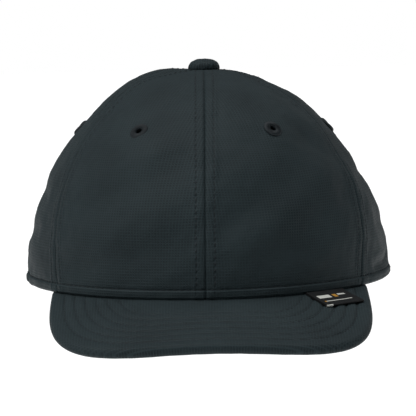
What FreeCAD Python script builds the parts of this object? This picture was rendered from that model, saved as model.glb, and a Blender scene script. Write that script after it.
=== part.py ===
import FreeCAD, Part
import math
import os

# Bump cap: a soft six-panel cap with a short visor, over a removable bump shell with foam pads.
# Millimetres. z = 0 is the plane of the crown's lower edge, +Z is up, the visor points along -Y and
# +X is the wearer's left. A place on the crown is a turn round it (0 at the front, 90 at the wearer's
# left, 180 at the rear), a rise above its lower edge (0 at the edge, 90 at the top) and a depth in
# from its outer surface.

# Crown
CROWN_HALF_WIDTH = 86.0
CROWN_FRONT = 97.0
CROWN_REAR = 99.0
CROWN_HEIGHT = 98.5
SIDE_FULLNESS = 0.03
END_FULLNESS = 0.03
FRONT_FULLNESS = 0.05
PANEL_THICKNESS = 0.9
PANEL_TOP = 88.0
SEAM_GAP = 0.1
FRONT_SEAM_TURN = 53.0
FRONT_SEAM_SWEEP = 10.5
REAR_SEAM_TURN = 119.0
LAYER_GAP = 0.05
MOVING_GAP = 0.35

# Eyelets: (turn, rise) of those on the wearer's left
EYELET_PLACES = {"front": (30.5, 47.3), "side": (92.0, 47.0), "rear": (150.0, 47.0)}
EYELET_HOLE_R = 1.5
EYELET_FLANGE_R = 4.4
EYELET_SLEEVE = 0.6
EYELET_FLANGE = 0.5
EYELET_INNER_GAP = 0.15

# Seam tapes
TAPE_WIDTH = 12.0
TAPE_THICKNESS = 0.5
TAPE_FOOT = 1.5
TAPE_TOP = 80.0

# Button
BUTTON_R = 7.4
BUTTON_HEIGHT = 5.0
BUTTON_COVER = 0.7
BUTTON_CAP = 0.8
BUTTON_SHANK_R = 1.5
BUTTON_WASHER_R = 6.0
BUTTON_WASHER = 0.7
QUARTER_STEPS = 8

# Sweatband
BAND_FOOT = 1.0
BAND_TOP = 33.0
BAND_END_GAP = 5.6
BAND_FOAM = 1.05
BAND_FOAM_INSET = 1.5
BAND_FACE = 0.8

# Visor
VISOR_REACH = 41.5
VISOR_SIDE_INSET = 13.5
VISOR_OUTLINE_START = 52.0
VISOR_OUTLINE_POWER = 4.6
VISOR_END_REACH = 0.95
VISOR_SLOPE = 20.0
VISOR_SIDE_EASE = 6.0
VISOR_COVER = 0.9
VISOR_BOARD = 2.2
VISOR_BOARD_INSET = 2.6
VISOR_SEAM_GAP = 0.1

# Label in the visor seam
LABEL_TURN = 35.8
LABEL_WIDTH = 22.0
LABEL_REACH = 15.0
LABEL_THICKNESS = 0.9
LABEL_SEAM_GAP = 0.9

# Rear opening and size strap
ARCH_HALF_WIDTH = 40.0
ARCH_HEIGHT = 45.0
ARCH_FOOT = 0.3
BINDING_WIDTH = 2.4
BINDING_PROUD = 0.5
STRAP_LOW = 3.5
STRAP_WIDTH = 18.0
STRAP_THICKNESS = 1.0
STRAP_SEWN = 10.0
PATCH_INSET = 1.0
PATCH_END_GAP = 4.5
TAIL_END_GAP = 4.4
RING_WIRE_R = 1.0
RING_CORNER_PROUD = 0.08
RING_BAR_CLEARANCE = 0.175
RING_SIDE_CLEARANCE = 0.5
RING_INNER_GAP = 1.85
RING_FROM_SIDE = 22.1
HOOK_PATCH_LENGTH = 18.0
KEEPER_THICKNESS = 0.8

# Bump shell and its pads
SHELL_BAND_CLEARANCE = 0.8
SHELL_THICKNESS = 2.0
SHELL_ABOVE_BAND = 1.0
SHELL_ABOVE_ARCH = 8.0
SHELL_TOP = 84.0
VENT_TURNS = [0.0, 62.0, 90.0, 118.0, 180.0, 242.0, 270.0, 298.0]
VENT_LOW = 54.0
VENT_HIGH = 66.0
VENT_WIDTH = 5.0
PAD_GAP = 0.1
PAD_THICKNESS = 5.0
PAD_EDGE_RISE = 3.0
SIDE_PADS = {
    "pad_front": (-40.0, 40.0, 48.0),
    "pad_left": (62.0, 118.0, 49.0),
    "pad_rear": (142.0, 218.0, 51.0),
    "pad_right": (242.0, 298.0, 49.0),
}
CROWN_PAD_LOW = 69.0
CROWN_PAD_TOP = 83.0
DOT_PLACES = [(32.0, 66.0), (-32.0, 66.0), (150.0, 66.0), (-150.0, 66.0)]
DOT_R = 9.0
LOOP_DOT = 1.5

TAPE_DEPTH = PANEL_THICKNESS + LAYER_GAP
BAND_DEPTH = TAPE_DEPTH + TAPE_THICKNESS + LAYER_GAP
BAND_FACE_DEPTH = BAND_DEPTH + BAND_FOAM + LAYER_GAP
SHELL_DEPTH = BAND_FACE_DEPTH + BAND_FACE + SHELL_BAND_CLEARANCE
HOOK_DOT = SHELL_DEPTH - LAYER_GAP - MOVING_GAP - LOOP_DOT - TAPE_DEPTH
STRAP_HIGH = STRAP_LOW + STRAP_WIDTH
VISOR_HALF_WIDTH = CROWN_HALF_WIDTH - VISOR_SIDE_INSET
VISOR_OUTLINE_LENGTH = CROWN_FRONT + VISOR_REACH - VISOR_OUTLINE_START
VISOR_BOARD_DEPTH = VISOR_COVER + LAYER_GAP
VISOR_UNDER_DEPTH = VISOR_BOARD_DEPTH + VISOR_BOARD + LAYER_GAP


def vector(x, y, z):
    return FreeCAD.Vector(x, y, z)


def half_width_at(rise):
    s = math.radians(rise)
    return CROWN_HALF_WIDTH * math.cos(s) * (1 + SIDE_FULLNESS * math.sin(s) ** 2)


def surface_point(turn, rise):
    """An ellipsoid, a little fuller half-way up than an ellipse, and fullest at the front."""
    p = math.radians(turn)
    s = math.radians(rise)
    length = (CROWN_FRONT + CROWN_REAR) / 2 + (CROWN_FRONT - CROWN_REAR) / 2 * math.cos(p)
    fullness = 1 + (END_FULLNESS + FRONT_FULLNESS * math.cos(p)) * math.sin(s) ** 2
    return vector(
        half_width_at(rise) * math.sin(p),
        -length * math.cos(p) * math.cos(s) * fullness,
        CROWN_HEIGHT * math.sin(s),
    )


def crown_normal(turn, rise):
    """The crown's outward direction, from two short steps along its surface."""
    step = 0.01
    round_it = surface_point(turn + step, rise) - surface_point(turn - step, rise)
    up_it = surface_point(turn, rise + step) - surface_point(turn, rise - step)
    return round_it.cross(up_it).normalize()


def crown_point(turn, rise, depth=0.0):
    return surface_point(turn, rise) - crown_normal(turn, rise) * depth


def rise_at(height):
    return math.degrees(math.asin(height / CROWN_HEIGHT))


def turn_of(width, rise):
    """The turn that a width along the crown covers at a rise."""
    return math.degrees(width / (CROWN_HALF_WIDTH * math.cos(math.radians(rise))))


def skin(place, depth, columns, rows):
    grid = [[place(i / columns, j / rows, depth) for j in range(rows + 1)] for i in range(columns + 1)]
    surface = Part.BSplineSurface()
    surface.interpolate(grid)
    return surface


def thick_sheet(place, outer, inner, columns=8, rows=8):
    """A closed solid between two skins of one sheet, place(u, v, depth), closed by ruled edges."""
    skins = [skin(place, depth, columns, rows) for depth in (outer, inner)]
    faces = [each.toShape() for each in skins]
    u0, u1, v0, v1 = skins[0].bounds()
    for iso, values in (("uIso", (u0, u1)), ("vIso", (v0, v1))):
        for value in values:
            edges = [getattr(each, iso)(value).toShape() for each in skins]
            faces.append(Part.makeRuledSurface(*edges))
    shell = Part.makeShell(faces)
    shell.sewShape()
    solid = Part.makeSolid(shell)
    if solid.Volume < 0:
        solid.reverse()
    return solid


def crown_patch(left, right, low, high, outer, inner, columns=8, rows=8):
    """A layer of the crown between two turns and two rises, each a number or a function of the other."""

    def place(u, v, depth):
        if callable(low):
            start = left + (right - left) * u
            rise = low(start) + (high - low(start)) * v
            return crown_point(start, rise, depth)
        rise = low + (high - low) * v
        start = left(rise)
        return crown_point(start + (right(rise) - start) * u, rise, depth)

    return thick_sheet(place, outer, inner, columns, rows)


def one_solid(shape):
    """The single solid that a boolean result holds."""
    if len(shape.Solids) != 1:
        raise ValueError("expected one solid, got " + str(len(shape.Solids)))
    return shape.Solids[0]


def fused(pieces):
    shape = pieces[0].fuse(pieces[1:]).removeSplitter()
    return one_solid(shape)


def seam_turn(seam, rise):
    """Where a seam lies at a rise: the front ones sweep back as they climb."""
    side = -1 if seam < 0 else 1
    if abs(seam) == FRONT_SEAM_TURN:
        return side * (FRONT_SEAM_TURN + FRONT_SEAM_SWEEP * math.sin(math.radians(1.6 * rise)))
    return seam


def panel(first, last):
    """One crown panel, between two seams, short of each by half the seam gap."""

    def left(rise):
        return seam_turn(first, rise) + turn_of(SEAM_GAP / 2, rise)

    def right(rise):
        return seam_turn(last, rise) - turn_of(SEAM_GAP / 2, rise)

    return crown_patch(left, right, 0.0, PANEL_TOP, 0.0, PANEL_THICKNESS, 10, 12)


def along_normal(shape, turn, rise):
    """A shape made on the Z axis, put on the crown with Z along its outward direction."""
    spin = FreeCAD.Rotation(vector(0, 0, 1), crown_normal(turn, rise))
    shape.Placement = FreeCAD.Placement(surface_point(turn, rise), spin)
    return shape


def revolved(outline):
    wire = Part.makePolygon([vector(r, 0, z) for r, z in outline + outline[:1]])
    return Part.Face(wire).revolve(vector(0, 0, 0), vector(0, 0, 1), 360)


def eyelet_hole(turn, rise):
    reach = 5 * PANEL_THICKNESS
    hole = Part.makeCylinder(EYELET_HOLE_R + EYELET_SLEEVE + LAYER_GAP, 2 * reach, vector(0, 0, -reach))
    return along_normal(hole, turn, rise)


def eyelet(turn, rise):
    """Thread worked round a hole: a sleeve through the panel with a flange on each face."""
    top = LAYER_GAP + EYELET_FLANGE
    under = -PANEL_THICKNESS - EYELET_INNER_GAP
    sleeve_r = EYELET_HOLE_R + EYELET_SLEEVE
    outline = [
        (EYELET_HOLE_R, under - EYELET_FLANGE),
        (EYELET_FLANGE_R, under - EYELET_FLANGE),
        (EYELET_FLANGE_R, under),
        (sleeve_r, under),
        (sleeve_r, LAYER_GAP),
        (EYELET_FLANGE_R, LAYER_GAP),
        (EYELET_FLANGE_R - EYELET_FLANGE / 2, top),
        (EYELET_HOLE_R, top),
    ]
    return along_normal(revolved(outline), turn, rise)


def arch_cutter():
    """The half-moon opening: half an ellipse standing on the crown's edge, cut through the rear wall."""
    ellipse = Part.Ellipse(vector(0, 0, 0), ARCH_HEIGHT, ARCH_HALF_WIDTH)
    face = Part.Face(Part.Wire(ellipse.toShape()))
    face.rotate(vector(0, 0, 0), vector(0, 0, 1), 90)
    face.rotate(vector(0, 0, 0), vector(1, 0, 0), 90)
    face.translate(vector(0, 1.5 * CROWN_REAR, 0))
    return face.extrude(vector(0, -CROWN_REAR, 0))


def make_panels():
    seams = {
        "panel_front_left": (0.0, FRONT_SEAM_TURN),
        "panel_side_left": (FRONT_SEAM_TURN, REAR_SEAM_TURN),
        "panel_rear_left": (REAR_SEAM_TURN, 180.0),
        "panel_front_right": (-FRONT_SEAM_TURN, 0.0),
        "panel_side_right": (-REAR_SEAM_TURN, -FRONT_SEAM_TURN),
        "panel_rear_right": (-180.0, -REAR_SEAM_TURN),
    }
    nodes = {}
    for name, (first, last) in seams.items():
        side = -1 if name.endswith("right") else 1
        turn, rise = EYELET_PLACES[name.split("_")[1]]
        shape = panel(first, last).cut(eyelet_hole(side * turn, rise))
        if "rear" in name:
            shape = shape.cut(arch_cutter())
        nodes[name] = one_solid(shape)
        nodes[name.replace("panel", "eyelet")] = eyelet(side * turn, rise)
    return nodes


def make_seam_tapes():
    """Tapes that bind the seams inside. The rear centre one starts above the opening."""
    seams = {
        "seam_tape_front": (0.0, TAPE_FOOT),
        "seam_tape_front_left": (FRONT_SEAM_TURN, TAPE_FOOT),
        "seam_tape_front_right": (-FRONT_SEAM_TURN, TAPE_FOOT),
        "seam_tape_rear_left": (REAR_SEAM_TURN, TAPE_FOOT),
        "seam_tape_rear_right": (-REAR_SEAM_TURN, TAPE_FOOT),
        "seam_tape_rear": (180.0, rise_at(ARCH_HEIGHT + 2 * BINDING_WIDTH)),
    }
    nodes = {}
    for name, (seam, foot) in seams.items():

        def left(rise, seam=seam):
            return seam_turn(seam, rise) - turn_of(TAPE_WIDTH / 2, rise)

        def right(rise, seam=seam):
            return seam_turn(seam, rise) + turn_of(TAPE_WIDTH / 2, rise)

        nodes[name] = crown_patch(left, right, foot, TAPE_TOP, TAPE_DEPTH, TAPE_DEPTH + TAPE_THICKNESS, 4, 12)
    return nodes


def half_oval(radius, height, thickness):
    """A domed shell: the band between two quarter ellipses, turned round Z."""

    def quarter(r, h):
        """A quarter ellipse in the XZ plane, as its edge from the rim to the top."""
        points = []
        for step in range(QUARTER_STEPS + 1):
            angle = math.pi / 2 * step / QUARTER_STEPS
            points.append(vector(r * math.cos(angle), 0, h * math.sin(angle)))
        curve = Part.BSplineCurve()
        curve.interpolate(points, InitialTangent=vector(0, 0, 1), FinalTangent=vector(-1, 0, 0))
        return curve.toShape()

    outer = quarter(radius, height)
    inner = quarter(radius - thickness, height - thickness)
    top = Part.makeLine(vector(0, 0, height), vector(0, 0, height - thickness))
    rim = Part.makeLine(vector(radius - thickness, 0, 0), vector(radius, 0, 0))
    face = Part.Face(Part.Wire(Part.sortEdges([outer, top, inner, rim])[0]))
    return face.revolve(vector(0, 0, 0), vector(0, 0, 1), 360)


def make_button():
    """The covered button: fabric over a metal cap, whose shank goes through the crown to a washer."""
    seat = surface_point(0, 90).z
    inner_r = BUTTON_R - BUTTON_COVER - LAYER_GAP
    inner_height = BUTTON_HEIGHT - BUTTON_COVER - LAYER_GAP
    cover = half_oval(BUTTON_R, BUTTON_HEIGHT, BUTTON_COVER)
    cap = half_oval(inner_r, inner_height, BUTTON_CAP)
    edge_fall = CROWN_HEIGHT * (1 - math.sqrt(1 - (BUTTON_WASHER_R / CROWN_HALF_WIDTH) ** 2))
    washer_top = -edge_fall - TAPE_DEPTH - 3 * LAYER_GAP
    washer_low = washer_top - BUTTON_WASHER
    shank_top = inner_height - BUTTON_CAP - 3 * LAYER_GAP
    outline = [
        (0.0, washer_low),
        (BUTTON_WASHER_R, washer_low),
        (BUTTON_WASHER_R, washer_top),
        (BUTTON_SHANK_R, washer_top),
        (BUTTON_SHANK_R, shank_top),
        (0.0, shank_top),
    ]
    rivet = revolved(outline)
    for shape in (cover, cap, rivet):
        shape.translate(vector(0, 0, seat))
    return {"button_cover": cover, "button_cap": cap, "button_rivet": rivet}


def make_sweatband():
    """A soft band inside the edge, open across the rear opening: a face with foam behind it."""

    end = 180 - (arch_along() + STRAP_SEWN + BAND_END_GAP) / rear_degree()

    def layer(inset, depth, thickness):
        def place(u, v, inward):
            turn = (2 * u - 1) * (end - turn_of(inset, 0))
            height = BAND_FOOT + inset + (BAND_TOP - BAND_FOOT - 2 * inset) * v
            return crown_point(turn, rise_at(height), inward)

        return thick_sheet(place, depth, depth + thickness, 28, 5)

    return {
        "sweatband_foam": layer(BAND_FOAM_INSET, BAND_DEPTH, BAND_FOAM),
        "sweatband": layer(0.0, BAND_FACE_DEPTH, BAND_FACE),
    }


def edge_direction(turn):
    """The level outward direction of the crown's lower edge."""
    normal = crown_normal(turn, 0)
    return vector(normal.x, normal.y, 0).normalize()


def visor_slope(turn):
    """The visor falls away from the crown's edge, steepest at the front and easier to the sides."""
    return math.radians(VISOR_SLOPE - VISOR_SIDE_EASE * math.sin(math.radians(turn)) ** 2)


def visor_point(turn, reach, depth):
    """A place on the visor: a turn along the crown's edge, level reach from it, and depth below its top."""
    slope = visor_slope(turn)
    out = edge_direction(turn)
    normal = out * math.sin(slope) + vector(0, 0, math.cos(slope))
    return surface_point(turn, 0) + out * reach - vector(0, 0, reach * math.tan(slope)) - normal * depth


def halving(beyond, near, far):
    """Where a test turns true between two values, by halving steps."""
    while far - near > 1e-4:
        middle = (near + far) / 2
        if beyond(middle):
            far = middle
        else:
            near = middle
    return near


def outside_visor(turn, reach):
    """Whether a place beside the crown's edge lies beyond the visor's outline, a rounded oblong."""
    point = surface_point(turn, 0) + edge_direction(turn) * reach
    across = abs(point.x) / VISOR_HALF_WIDTH
    along = max(0.0, -point.y - VISOR_OUTLINE_START) / VISOR_OUTLINE_LENGTH
    return across**VISOR_OUTLINE_POWER + along**VISOR_OUTLINE_POWER > 1


def visor_reach(turn):
    """How far the visor stands out from the crown's edge at a turn."""
    return halving(lambda reach: outside_visor(turn, reach), 0.0, VISOR_OUTLINE_LENGTH)


def visor_end():
    """The turn at each end of the visor, where little of it stands out."""
    return halving(lambda turn: outside_visor(turn, VISOR_END_REACH), 0.0, 90.0)


VISOR_END_TURN = visor_end()


def visor_layer(start, short, depth, thickness):
    """A layer of the visor from a start beyond the crown's edge to short of its outline."""

    def place(u, v, inward):
        turn = (2 * u - 1) * (VISOR_END_TURN - turn_of(short, 0))
        first = min(start, visor_reach(turn) / 3)
        last = max(visor_reach(turn) - short, first + VISOR_COVER)
        return visor_point(turn, first + (last - first) * v, inward)

    return thick_sheet(place, depth, depth + thickness, 48, 4)


def visor_allowance():
    """The turned seam allowances that fill the edge between the covers, beyond the board."""

    def place(u, v, inward):
        turn = (2 * u - 1) * (VISOR_END_TURN - turn_of(2 * VISOR_BOARD_INSET, 0))
        width = VISOR_BOARD_INSET - 10 * LAYER_GAP
        return visor_point(turn, visor_reach(turn) - LAYER_GAP - width * (1 - v), inward)

    return thick_sheet(place, VISOR_BOARD_DEPTH, VISOR_BOARD_DEPTH + VISOR_BOARD, 48, 2)


def make_visor():
    return {
        "visor_top_cover": visor_layer(VISOR_SEAM_GAP, 0.0, 0.0, VISOR_COVER),
        "visor_board": visor_layer(VISOR_BOARD_INSET, VISOR_BOARD_INSET, VISOR_BOARD_DEPTH, VISOR_BOARD),
        "visor_edge_allowance": visor_allowance(),
        "visor_under_cover": visor_layer(VISOR_SEAM_GAP, 0.0, VISOR_UNDER_DEPTH, VISOR_COVER),
    }


def make_label():
    """A flat folded tag that leaves the seam and rests on the visor. Its hinge is its inner edge."""
    out = edge_direction(LABEL_TURN)
    slope = visor_slope(LABEL_TURN)
    along = vector(0, 0, 1).cross(out)
    down = out * math.cos(slope) - vector(0, 0, math.sin(slope))
    normal = down.cross(along)
    if normal.z < 0:
        normal = normal * -1
    corner = visor_point(LABEL_TURN, LABEL_SEAM_GAP, -MOVING_GAP) - along * (LABEL_WIDTH / 2)
    face = Part.Face(
        Part.makePolygon(
            [
                corner,
                corner + along * LABEL_WIDTH,
                corner + along * LABEL_WIDTH + down * LABEL_REACH,
                corner + down * LABEL_REACH,
                corner,
            ]
        )
    )
    return {"side_label": face.extrude(normal * LABEL_THICKNESS)}


def label_hinge():
    """A point on the label's hinge and the hinge's direction, which lifts the label."""
    out = edge_direction(LABEL_TURN)
    depth = -MOVING_GAP - LABEL_THICKNESS / 2
    return visor_point(LABEL_TURN, LABEL_SEAM_GAP, depth), out.cross(vector(0, 0, 1))


def rear_degree():
    """The length of one degree of turn along the edge beside the rear centre, at the ring."""
    turn = math.radians(16)
    across = CROWN_HALF_WIDTH * math.cos(turn)
    back = CROWN_REAR * math.sin(turn)
    return math.radians(math.hypot(across, back))


def strap_point(along, height, depth):
    """A place on the size strap: along the crown's edge from the rear centre, straight up its width."""
    turn = 180 - along / rear_degree()
    low = crown_point(turn, rise_at(STRAP_LOW), depth)
    high = crown_point(turn, rise_at(STRAP_HIGH), depth)
    return low + (high - low) * ((height - STRAP_LOW) / STRAP_WIDTH)


def arch_along(height=0.0, inset=0.0):
    """How far from the rear centre the opening's side lies at a height, along the edge."""
    share = math.sqrt(1 - (height / (ARCH_HEIGHT - inset)) ** 2)
    x = (ARCH_HALF_WIDTH - inset) * share
    return math.degrees(math.asin(x / half_width_at(rise_at(height)))) * rear_degree()


def strap_layer(start, end, outer, thickness, inset=0.0):
    def place(u, v, inward):
        height = STRAP_LOW + inset + (STRAP_WIDTH - 2 * inset) * v
        return strap_point(start + (end - start) * u, height, inward)

    return thick_sheet(place, outer, outer + thickness, 16, 1)


FOLD_R = RING_WIRE_R + RING_BAR_CLEARANCE
HOOK_LOOP_THICKNESS = FOLD_R - LAYER_GAP - MOVING_GAP / 2
MAIN_DEPTH = PANEL_THICKNESS + LAYER_GAP
LOOP_DEPTH = MAIN_DEPTH - LAYER_GAP - HOOK_LOOP_THICKNESS
HOOK_DEPTH = LOOP_DEPTH - MOVING_GAP - HOOK_LOOP_THICKNESS
TAIL_DEPTH = HOOK_DEPTH - LAYER_GAP - STRAP_THICKNESS
BAR_DEPTH = MAIN_DEPTH - FOLD_R
RING_NEAR_BAR = arch_along() - RING_FROM_SIDE
RING_FAR_BAR = RING_NEAR_BAR + FOLD_R + STRAP_THICKNESS + RING_INNER_GAP + KEEPER_THICKNESS + FOLD_R


def bend_round(bar, inner_r, thickness, side):
    """Half a turn of strap round a ring's bar, bulging to one side of it."""

    def place(u, v, radius):
        angle = math.pi * u
        along = bar + side * radius * math.sin(angle)
        return strap_point(along, STRAP_LOW + STRAP_WIDTH * v, BAR_DEPTH + radius * math.cos(angle))

    return thick_sheet(place, inner_r + thickness, inner_r, 12, 1)


def strap_ring():
    """A rectangular wire ring, leaning as the wall does. Each corner is a ball a little thicker than the wire."""
    low = STRAP_LOW - RING_SIDE_CLEARANCE - RING_WIRE_R
    high = STRAP_HIGH + RING_SIDE_CLEARANCE + RING_WIRE_R
    corners = [
        strap_point(RING_NEAR_BAR, low, BAR_DEPTH),
        strap_point(RING_NEAR_BAR, high, BAR_DEPTH),
        strap_point(RING_FAR_BAR, high, BAR_DEPTH),
        strap_point(RING_FAR_BAR, low, BAR_DEPTH),
    ]
    pieces = []
    for start, end in zip(corners, corners[1:] + corners[:1]):
        pieces.append(Part.makeCylinder(RING_WIRE_R, (end - start).Length, start, end - start))
        pieces.append(Part.makeSphere(RING_WIRE_R + RING_CORNER_PROUD, start))
    return fused(pieces)


def ring_keeper():
    """A loop of webbing round the ring's far bar, both ends sewn inside the panel."""
    middle_r = FOLD_R + KEEPER_THICKNESS / 2
    settled = arch_along(STRAP_HIGH, BINDING_WIDTH) - KEEPER_THICKNESS
    end = arch_along() + STRAP_SEWN
    first = PANEL_THICKNESS + LAYER_GAP + KEEPER_THICKNESS / 2
    second = first + KEEPER_THICKNESS + LAYER_GAP

    def leg(side, layer):
        def place(u, v, offset):
            along = RING_FAR_BAR + (end - RING_FAR_BAR) * u
            share = min(1.0, (along - RING_FAR_BAR) / (settled - RING_FAR_BAR))
            ease = share * share * (3 - 2 * share)
            depth = BAR_DEPTH + side * middle_r
            depth += (layer - depth) * ease
            return strap_point(along, STRAP_LOW + STRAP_WIDTH * v, depth + offset)

        return thick_sheet(place, -KEEPER_THICKNESS / 2, KEEPER_THICKNESS / 2, 24, 1)

    return fused([leg(-1, first), leg(1, second), bend_round(RING_FAR_BAR, FOLD_R, KEEPER_THICKNESS, -1)])


def arch_binding():
    """A bound edge just inside the opening's cut edge, from one foot over the top to the other."""

    def place(u, v, depth):
        angle = math.pi * u
        shrink = LAYER_GAP + BINDING_WIDTH * (1 - v)
        x = (ARCH_HALF_WIDTH - shrink) * math.cos(angle)
        height = ARCH_FOOT + (ARCH_HEIGHT - shrink - ARCH_FOOT) * math.sin(angle)
        rise = rise_at(height)
        turn = 180 - math.degrees(math.asin(x / half_width_at(rise)))
        return crown_point(turn, rise, depth)

    return thick_sheet(place, -BINDING_PROUD, PANEL_THICKNESS - LAYER_GAP, 32, 2)


def make_rear_closure():
    far_end = -(arch_along() + STRAP_SEWN)
    loop_end = RING_NEAR_BAR - 2 * FOLD_R
    loop_start = PATCH_END_GAP - arch_along(STRAP_HIGH, BINDING_WIDTH)
    tail_end = loop_start + TAIL_END_GAP
    hook_start = tail_end + PATCH_INSET
    return {
        "rear_arch_binding": arch_binding(),
        "strap_main": strap_layer(far_end, RING_NEAR_BAR, MAIN_DEPTH, STRAP_THICKNESS),
        "strap_loop_patch": strap_layer(loop_start, loop_end, LOOP_DEPTH, HOOK_LOOP_THICKNESS, PATCH_INSET),
        "strap_fold": bend_round(RING_NEAR_BAR, FOLD_R, STRAP_THICKNESS, 1),
        "strap_ring": strap_ring(),
        "ring_keeper": ring_keeper(),
        "strap_tail": strap_layer(tail_end, RING_NEAR_BAR, TAIL_DEPTH, STRAP_THICKNESS),
        "strap_hook_patch": strap_layer(
            hook_start, hook_start + HOOK_PATCH_LENGTH, HOOK_DEPTH, HOOK_LOOP_THICKNESS, PATCH_INSET
        ),
    }


def tail_hinge():
    """The foot of the ring's near bar, and the way along it that turns the tail off the strap."""
    low = strap_point(RING_NEAR_BAR, STRAP_LOW, BAR_DEPTH)
    high = strap_point(RING_NEAR_BAR, STRAP_HIGH, BAR_DEPTH)
    return low, (low - high).normalize()


def shell_edge(turn):
    """The shell's lower edge, lowest at the front and highest at the rear."""
    front = BAND_TOP + SHELL_ABOVE_BAND
    rear = ARCH_HEIGHT + SHELL_ABOVE_ARCH
    share = (1 + math.cos(math.radians(turn))) / 2
    return rise_at(rear + (front - rear) * share)


def crown_ring(low, high, outer, inner):
    """A closed ring of the crown, from a lower rise (a function of the turn) up to a higher one."""
    halves = [crown_patch(start, start + 180, low, high, outer, inner, 20, 8) for start in (0.0, 180.0)]
    return fused(halves)


def vent(turn):
    """A cutter for one vent slot up the shell, with round ends."""
    reach = SHELL_DEPTH + 2 * SHELL_THICKNESS

    def place(u, v, depth):
        rise = VENT_LOW + (VENT_HIGH - VENT_LOW) * v
        return crown_point(turn + turn_of(VENT_WIDTH * (u - 0.5), rise), rise, depth)

    pieces = [thick_sheet(place, 0.0, reach, 2, 4)]
    for rise in (VENT_LOW, VENT_HIGH):
        drill = Part.makeCylinder(VENT_WIDTH / 2, 2 * reach, vector(0, 0, -reach))
        pieces.append(along_normal(drill, turn, rise))
    return pieces


def make_shell():
    shell = crown_ring(shell_edge, SHELL_TOP, SHELL_DEPTH, SHELL_DEPTH + SHELL_THICKNESS)
    for turn in VENT_TURNS:
        shell = shell.cut(vent(turn))
    return {"bump_shell": one_solid(shell)}


def make_pads():
    outer = SHELL_DEPTH + SHELL_THICKNESS + PAD_GAP
    inner = outer + PAD_THICKNESS
    nodes = {}
    for name, (left, right, high) in SIDE_PADS.items():

        def low(turn):
            return shell_edge(turn) + PAD_EDGE_RISE

        nodes[name] = crown_patch(left, right, low, high, outer, inner, 10, 4)
    nodes["pad_crown"] = crown_ring(lambda turn: CROWN_PAD_LOW, CROWN_PAD_TOP, outer, inner)
    return nodes


def dots(depth, thickness):
    """Round fastening discs that follow the crown's curve, one at each place."""
    solids = []
    for turn, rise in DOT_PLACES:
        half_turn = turn_of(2 * DOT_R, rise)
        half_rise = math.degrees(2 * DOT_R / CROWN_HEIGHT)
        patch = crown_patch(
            lambda level: turn - half_turn,
            lambda level: turn + half_turn,
            rise - half_rise,
            rise + half_rise,
            depth,
            depth + thickness,
        )
        reach = depth + 3 * thickness
        cutter = along_normal(Part.makeCylinder(DOT_R, 2 * reach, vector(0, 0, -reach)), turn, rise)
        solids.append(one_solid(patch.common(cutter)))
    return Part.makeCompound(solids)


def make_dots():
    return {
        "crown_loop_dots": dots(TAPE_DEPTH, LOOP_DOT),
        "insert_hook_dots": dots(SHELL_DEPTH - LAYER_GAP - HOOK_DOT, HOOK_DOT),
    }


def all_nodes():
    nodes = {}
    makers = [
        make_panels,
        make_seam_tapes,
        make_button,
        make_sweatband,
        make_visor,
        make_label,
        make_rear_closure,
        make_shell,
        make_pads,
        make_dots,
    ]
    for make in makers:
        nodes.update(make())
    return nodes


def export():
    os.makedirs("parts", exist_ok=True)
    for name, shape in all_nodes().items():
        if not shape.isValid():
            raise ValueError(name + " is not a valid solid")
        shape.exportStep("parts/" + name + ".step")
    print("label hinge", label_hinge())
    print("tail hinge", tail_hinge())


export()
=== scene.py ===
"""Bump cap: a soft six-panel cloth cap over a padded bump shell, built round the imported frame.

Shapes are worked out in millimetres and put into meshes in metres. A place on the crown is a turn round
it (0 at the front, 90 at the wearer's left, 180 at the rear), a rise above its lower edge and a depth in
from its outer surface, as in the part's own source.
"""

import math

import bpy
import numpy as np
from mathutils import Matrix, Vector


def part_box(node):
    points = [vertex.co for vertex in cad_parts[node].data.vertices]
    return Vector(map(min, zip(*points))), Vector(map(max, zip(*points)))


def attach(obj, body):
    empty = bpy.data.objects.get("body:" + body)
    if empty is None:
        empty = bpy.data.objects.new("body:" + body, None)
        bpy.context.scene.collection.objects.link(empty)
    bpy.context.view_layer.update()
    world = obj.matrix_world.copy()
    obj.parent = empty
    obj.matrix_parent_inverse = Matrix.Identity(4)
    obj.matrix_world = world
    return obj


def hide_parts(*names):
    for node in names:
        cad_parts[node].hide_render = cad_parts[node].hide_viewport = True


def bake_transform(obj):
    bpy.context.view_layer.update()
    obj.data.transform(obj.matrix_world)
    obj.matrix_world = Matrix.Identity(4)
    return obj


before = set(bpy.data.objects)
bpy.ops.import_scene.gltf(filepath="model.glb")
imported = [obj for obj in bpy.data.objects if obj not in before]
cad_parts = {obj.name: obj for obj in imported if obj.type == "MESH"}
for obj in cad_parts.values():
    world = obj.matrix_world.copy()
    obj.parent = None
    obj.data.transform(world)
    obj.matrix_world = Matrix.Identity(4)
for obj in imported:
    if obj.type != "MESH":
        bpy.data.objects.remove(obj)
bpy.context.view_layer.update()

MM = 0.001

# Crown
HALF_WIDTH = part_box("panel_side_left")[1].x / MM
FRONT = -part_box("panel_front_left")[0].y / MM
REAR = 99.0
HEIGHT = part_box("button_cover")[0].z / MM
SIDE_FULLNESS = 0.03
END_FULLNESS = 0.03
FRONT_FULLNESS = 0.05
PANEL_THICK = 0.9
PANEL_TOP = 88.0
FRONT_SEAM = 53.0
FRONT_SEAM_SWEEP = 10.5
CENTRE_LEAN = 1.3
REAR_SEAM = 119.0
SEAMS = (0.0, FRONT_SEAM, REAR_SEAM, 180.0, -REAR_SEAM, -FRONT_SEAM)
EYELETS = {"front": (30.5, 47.3), "side": (92.0, 47.0), "rear": (150.0, 47.0)}
EYELET_CUT_R = 2.6
BUTTON_R = 7.4
BUTTON_HEIGHT = 5.0
BUTTON_CLOTH = 0.5

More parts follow.
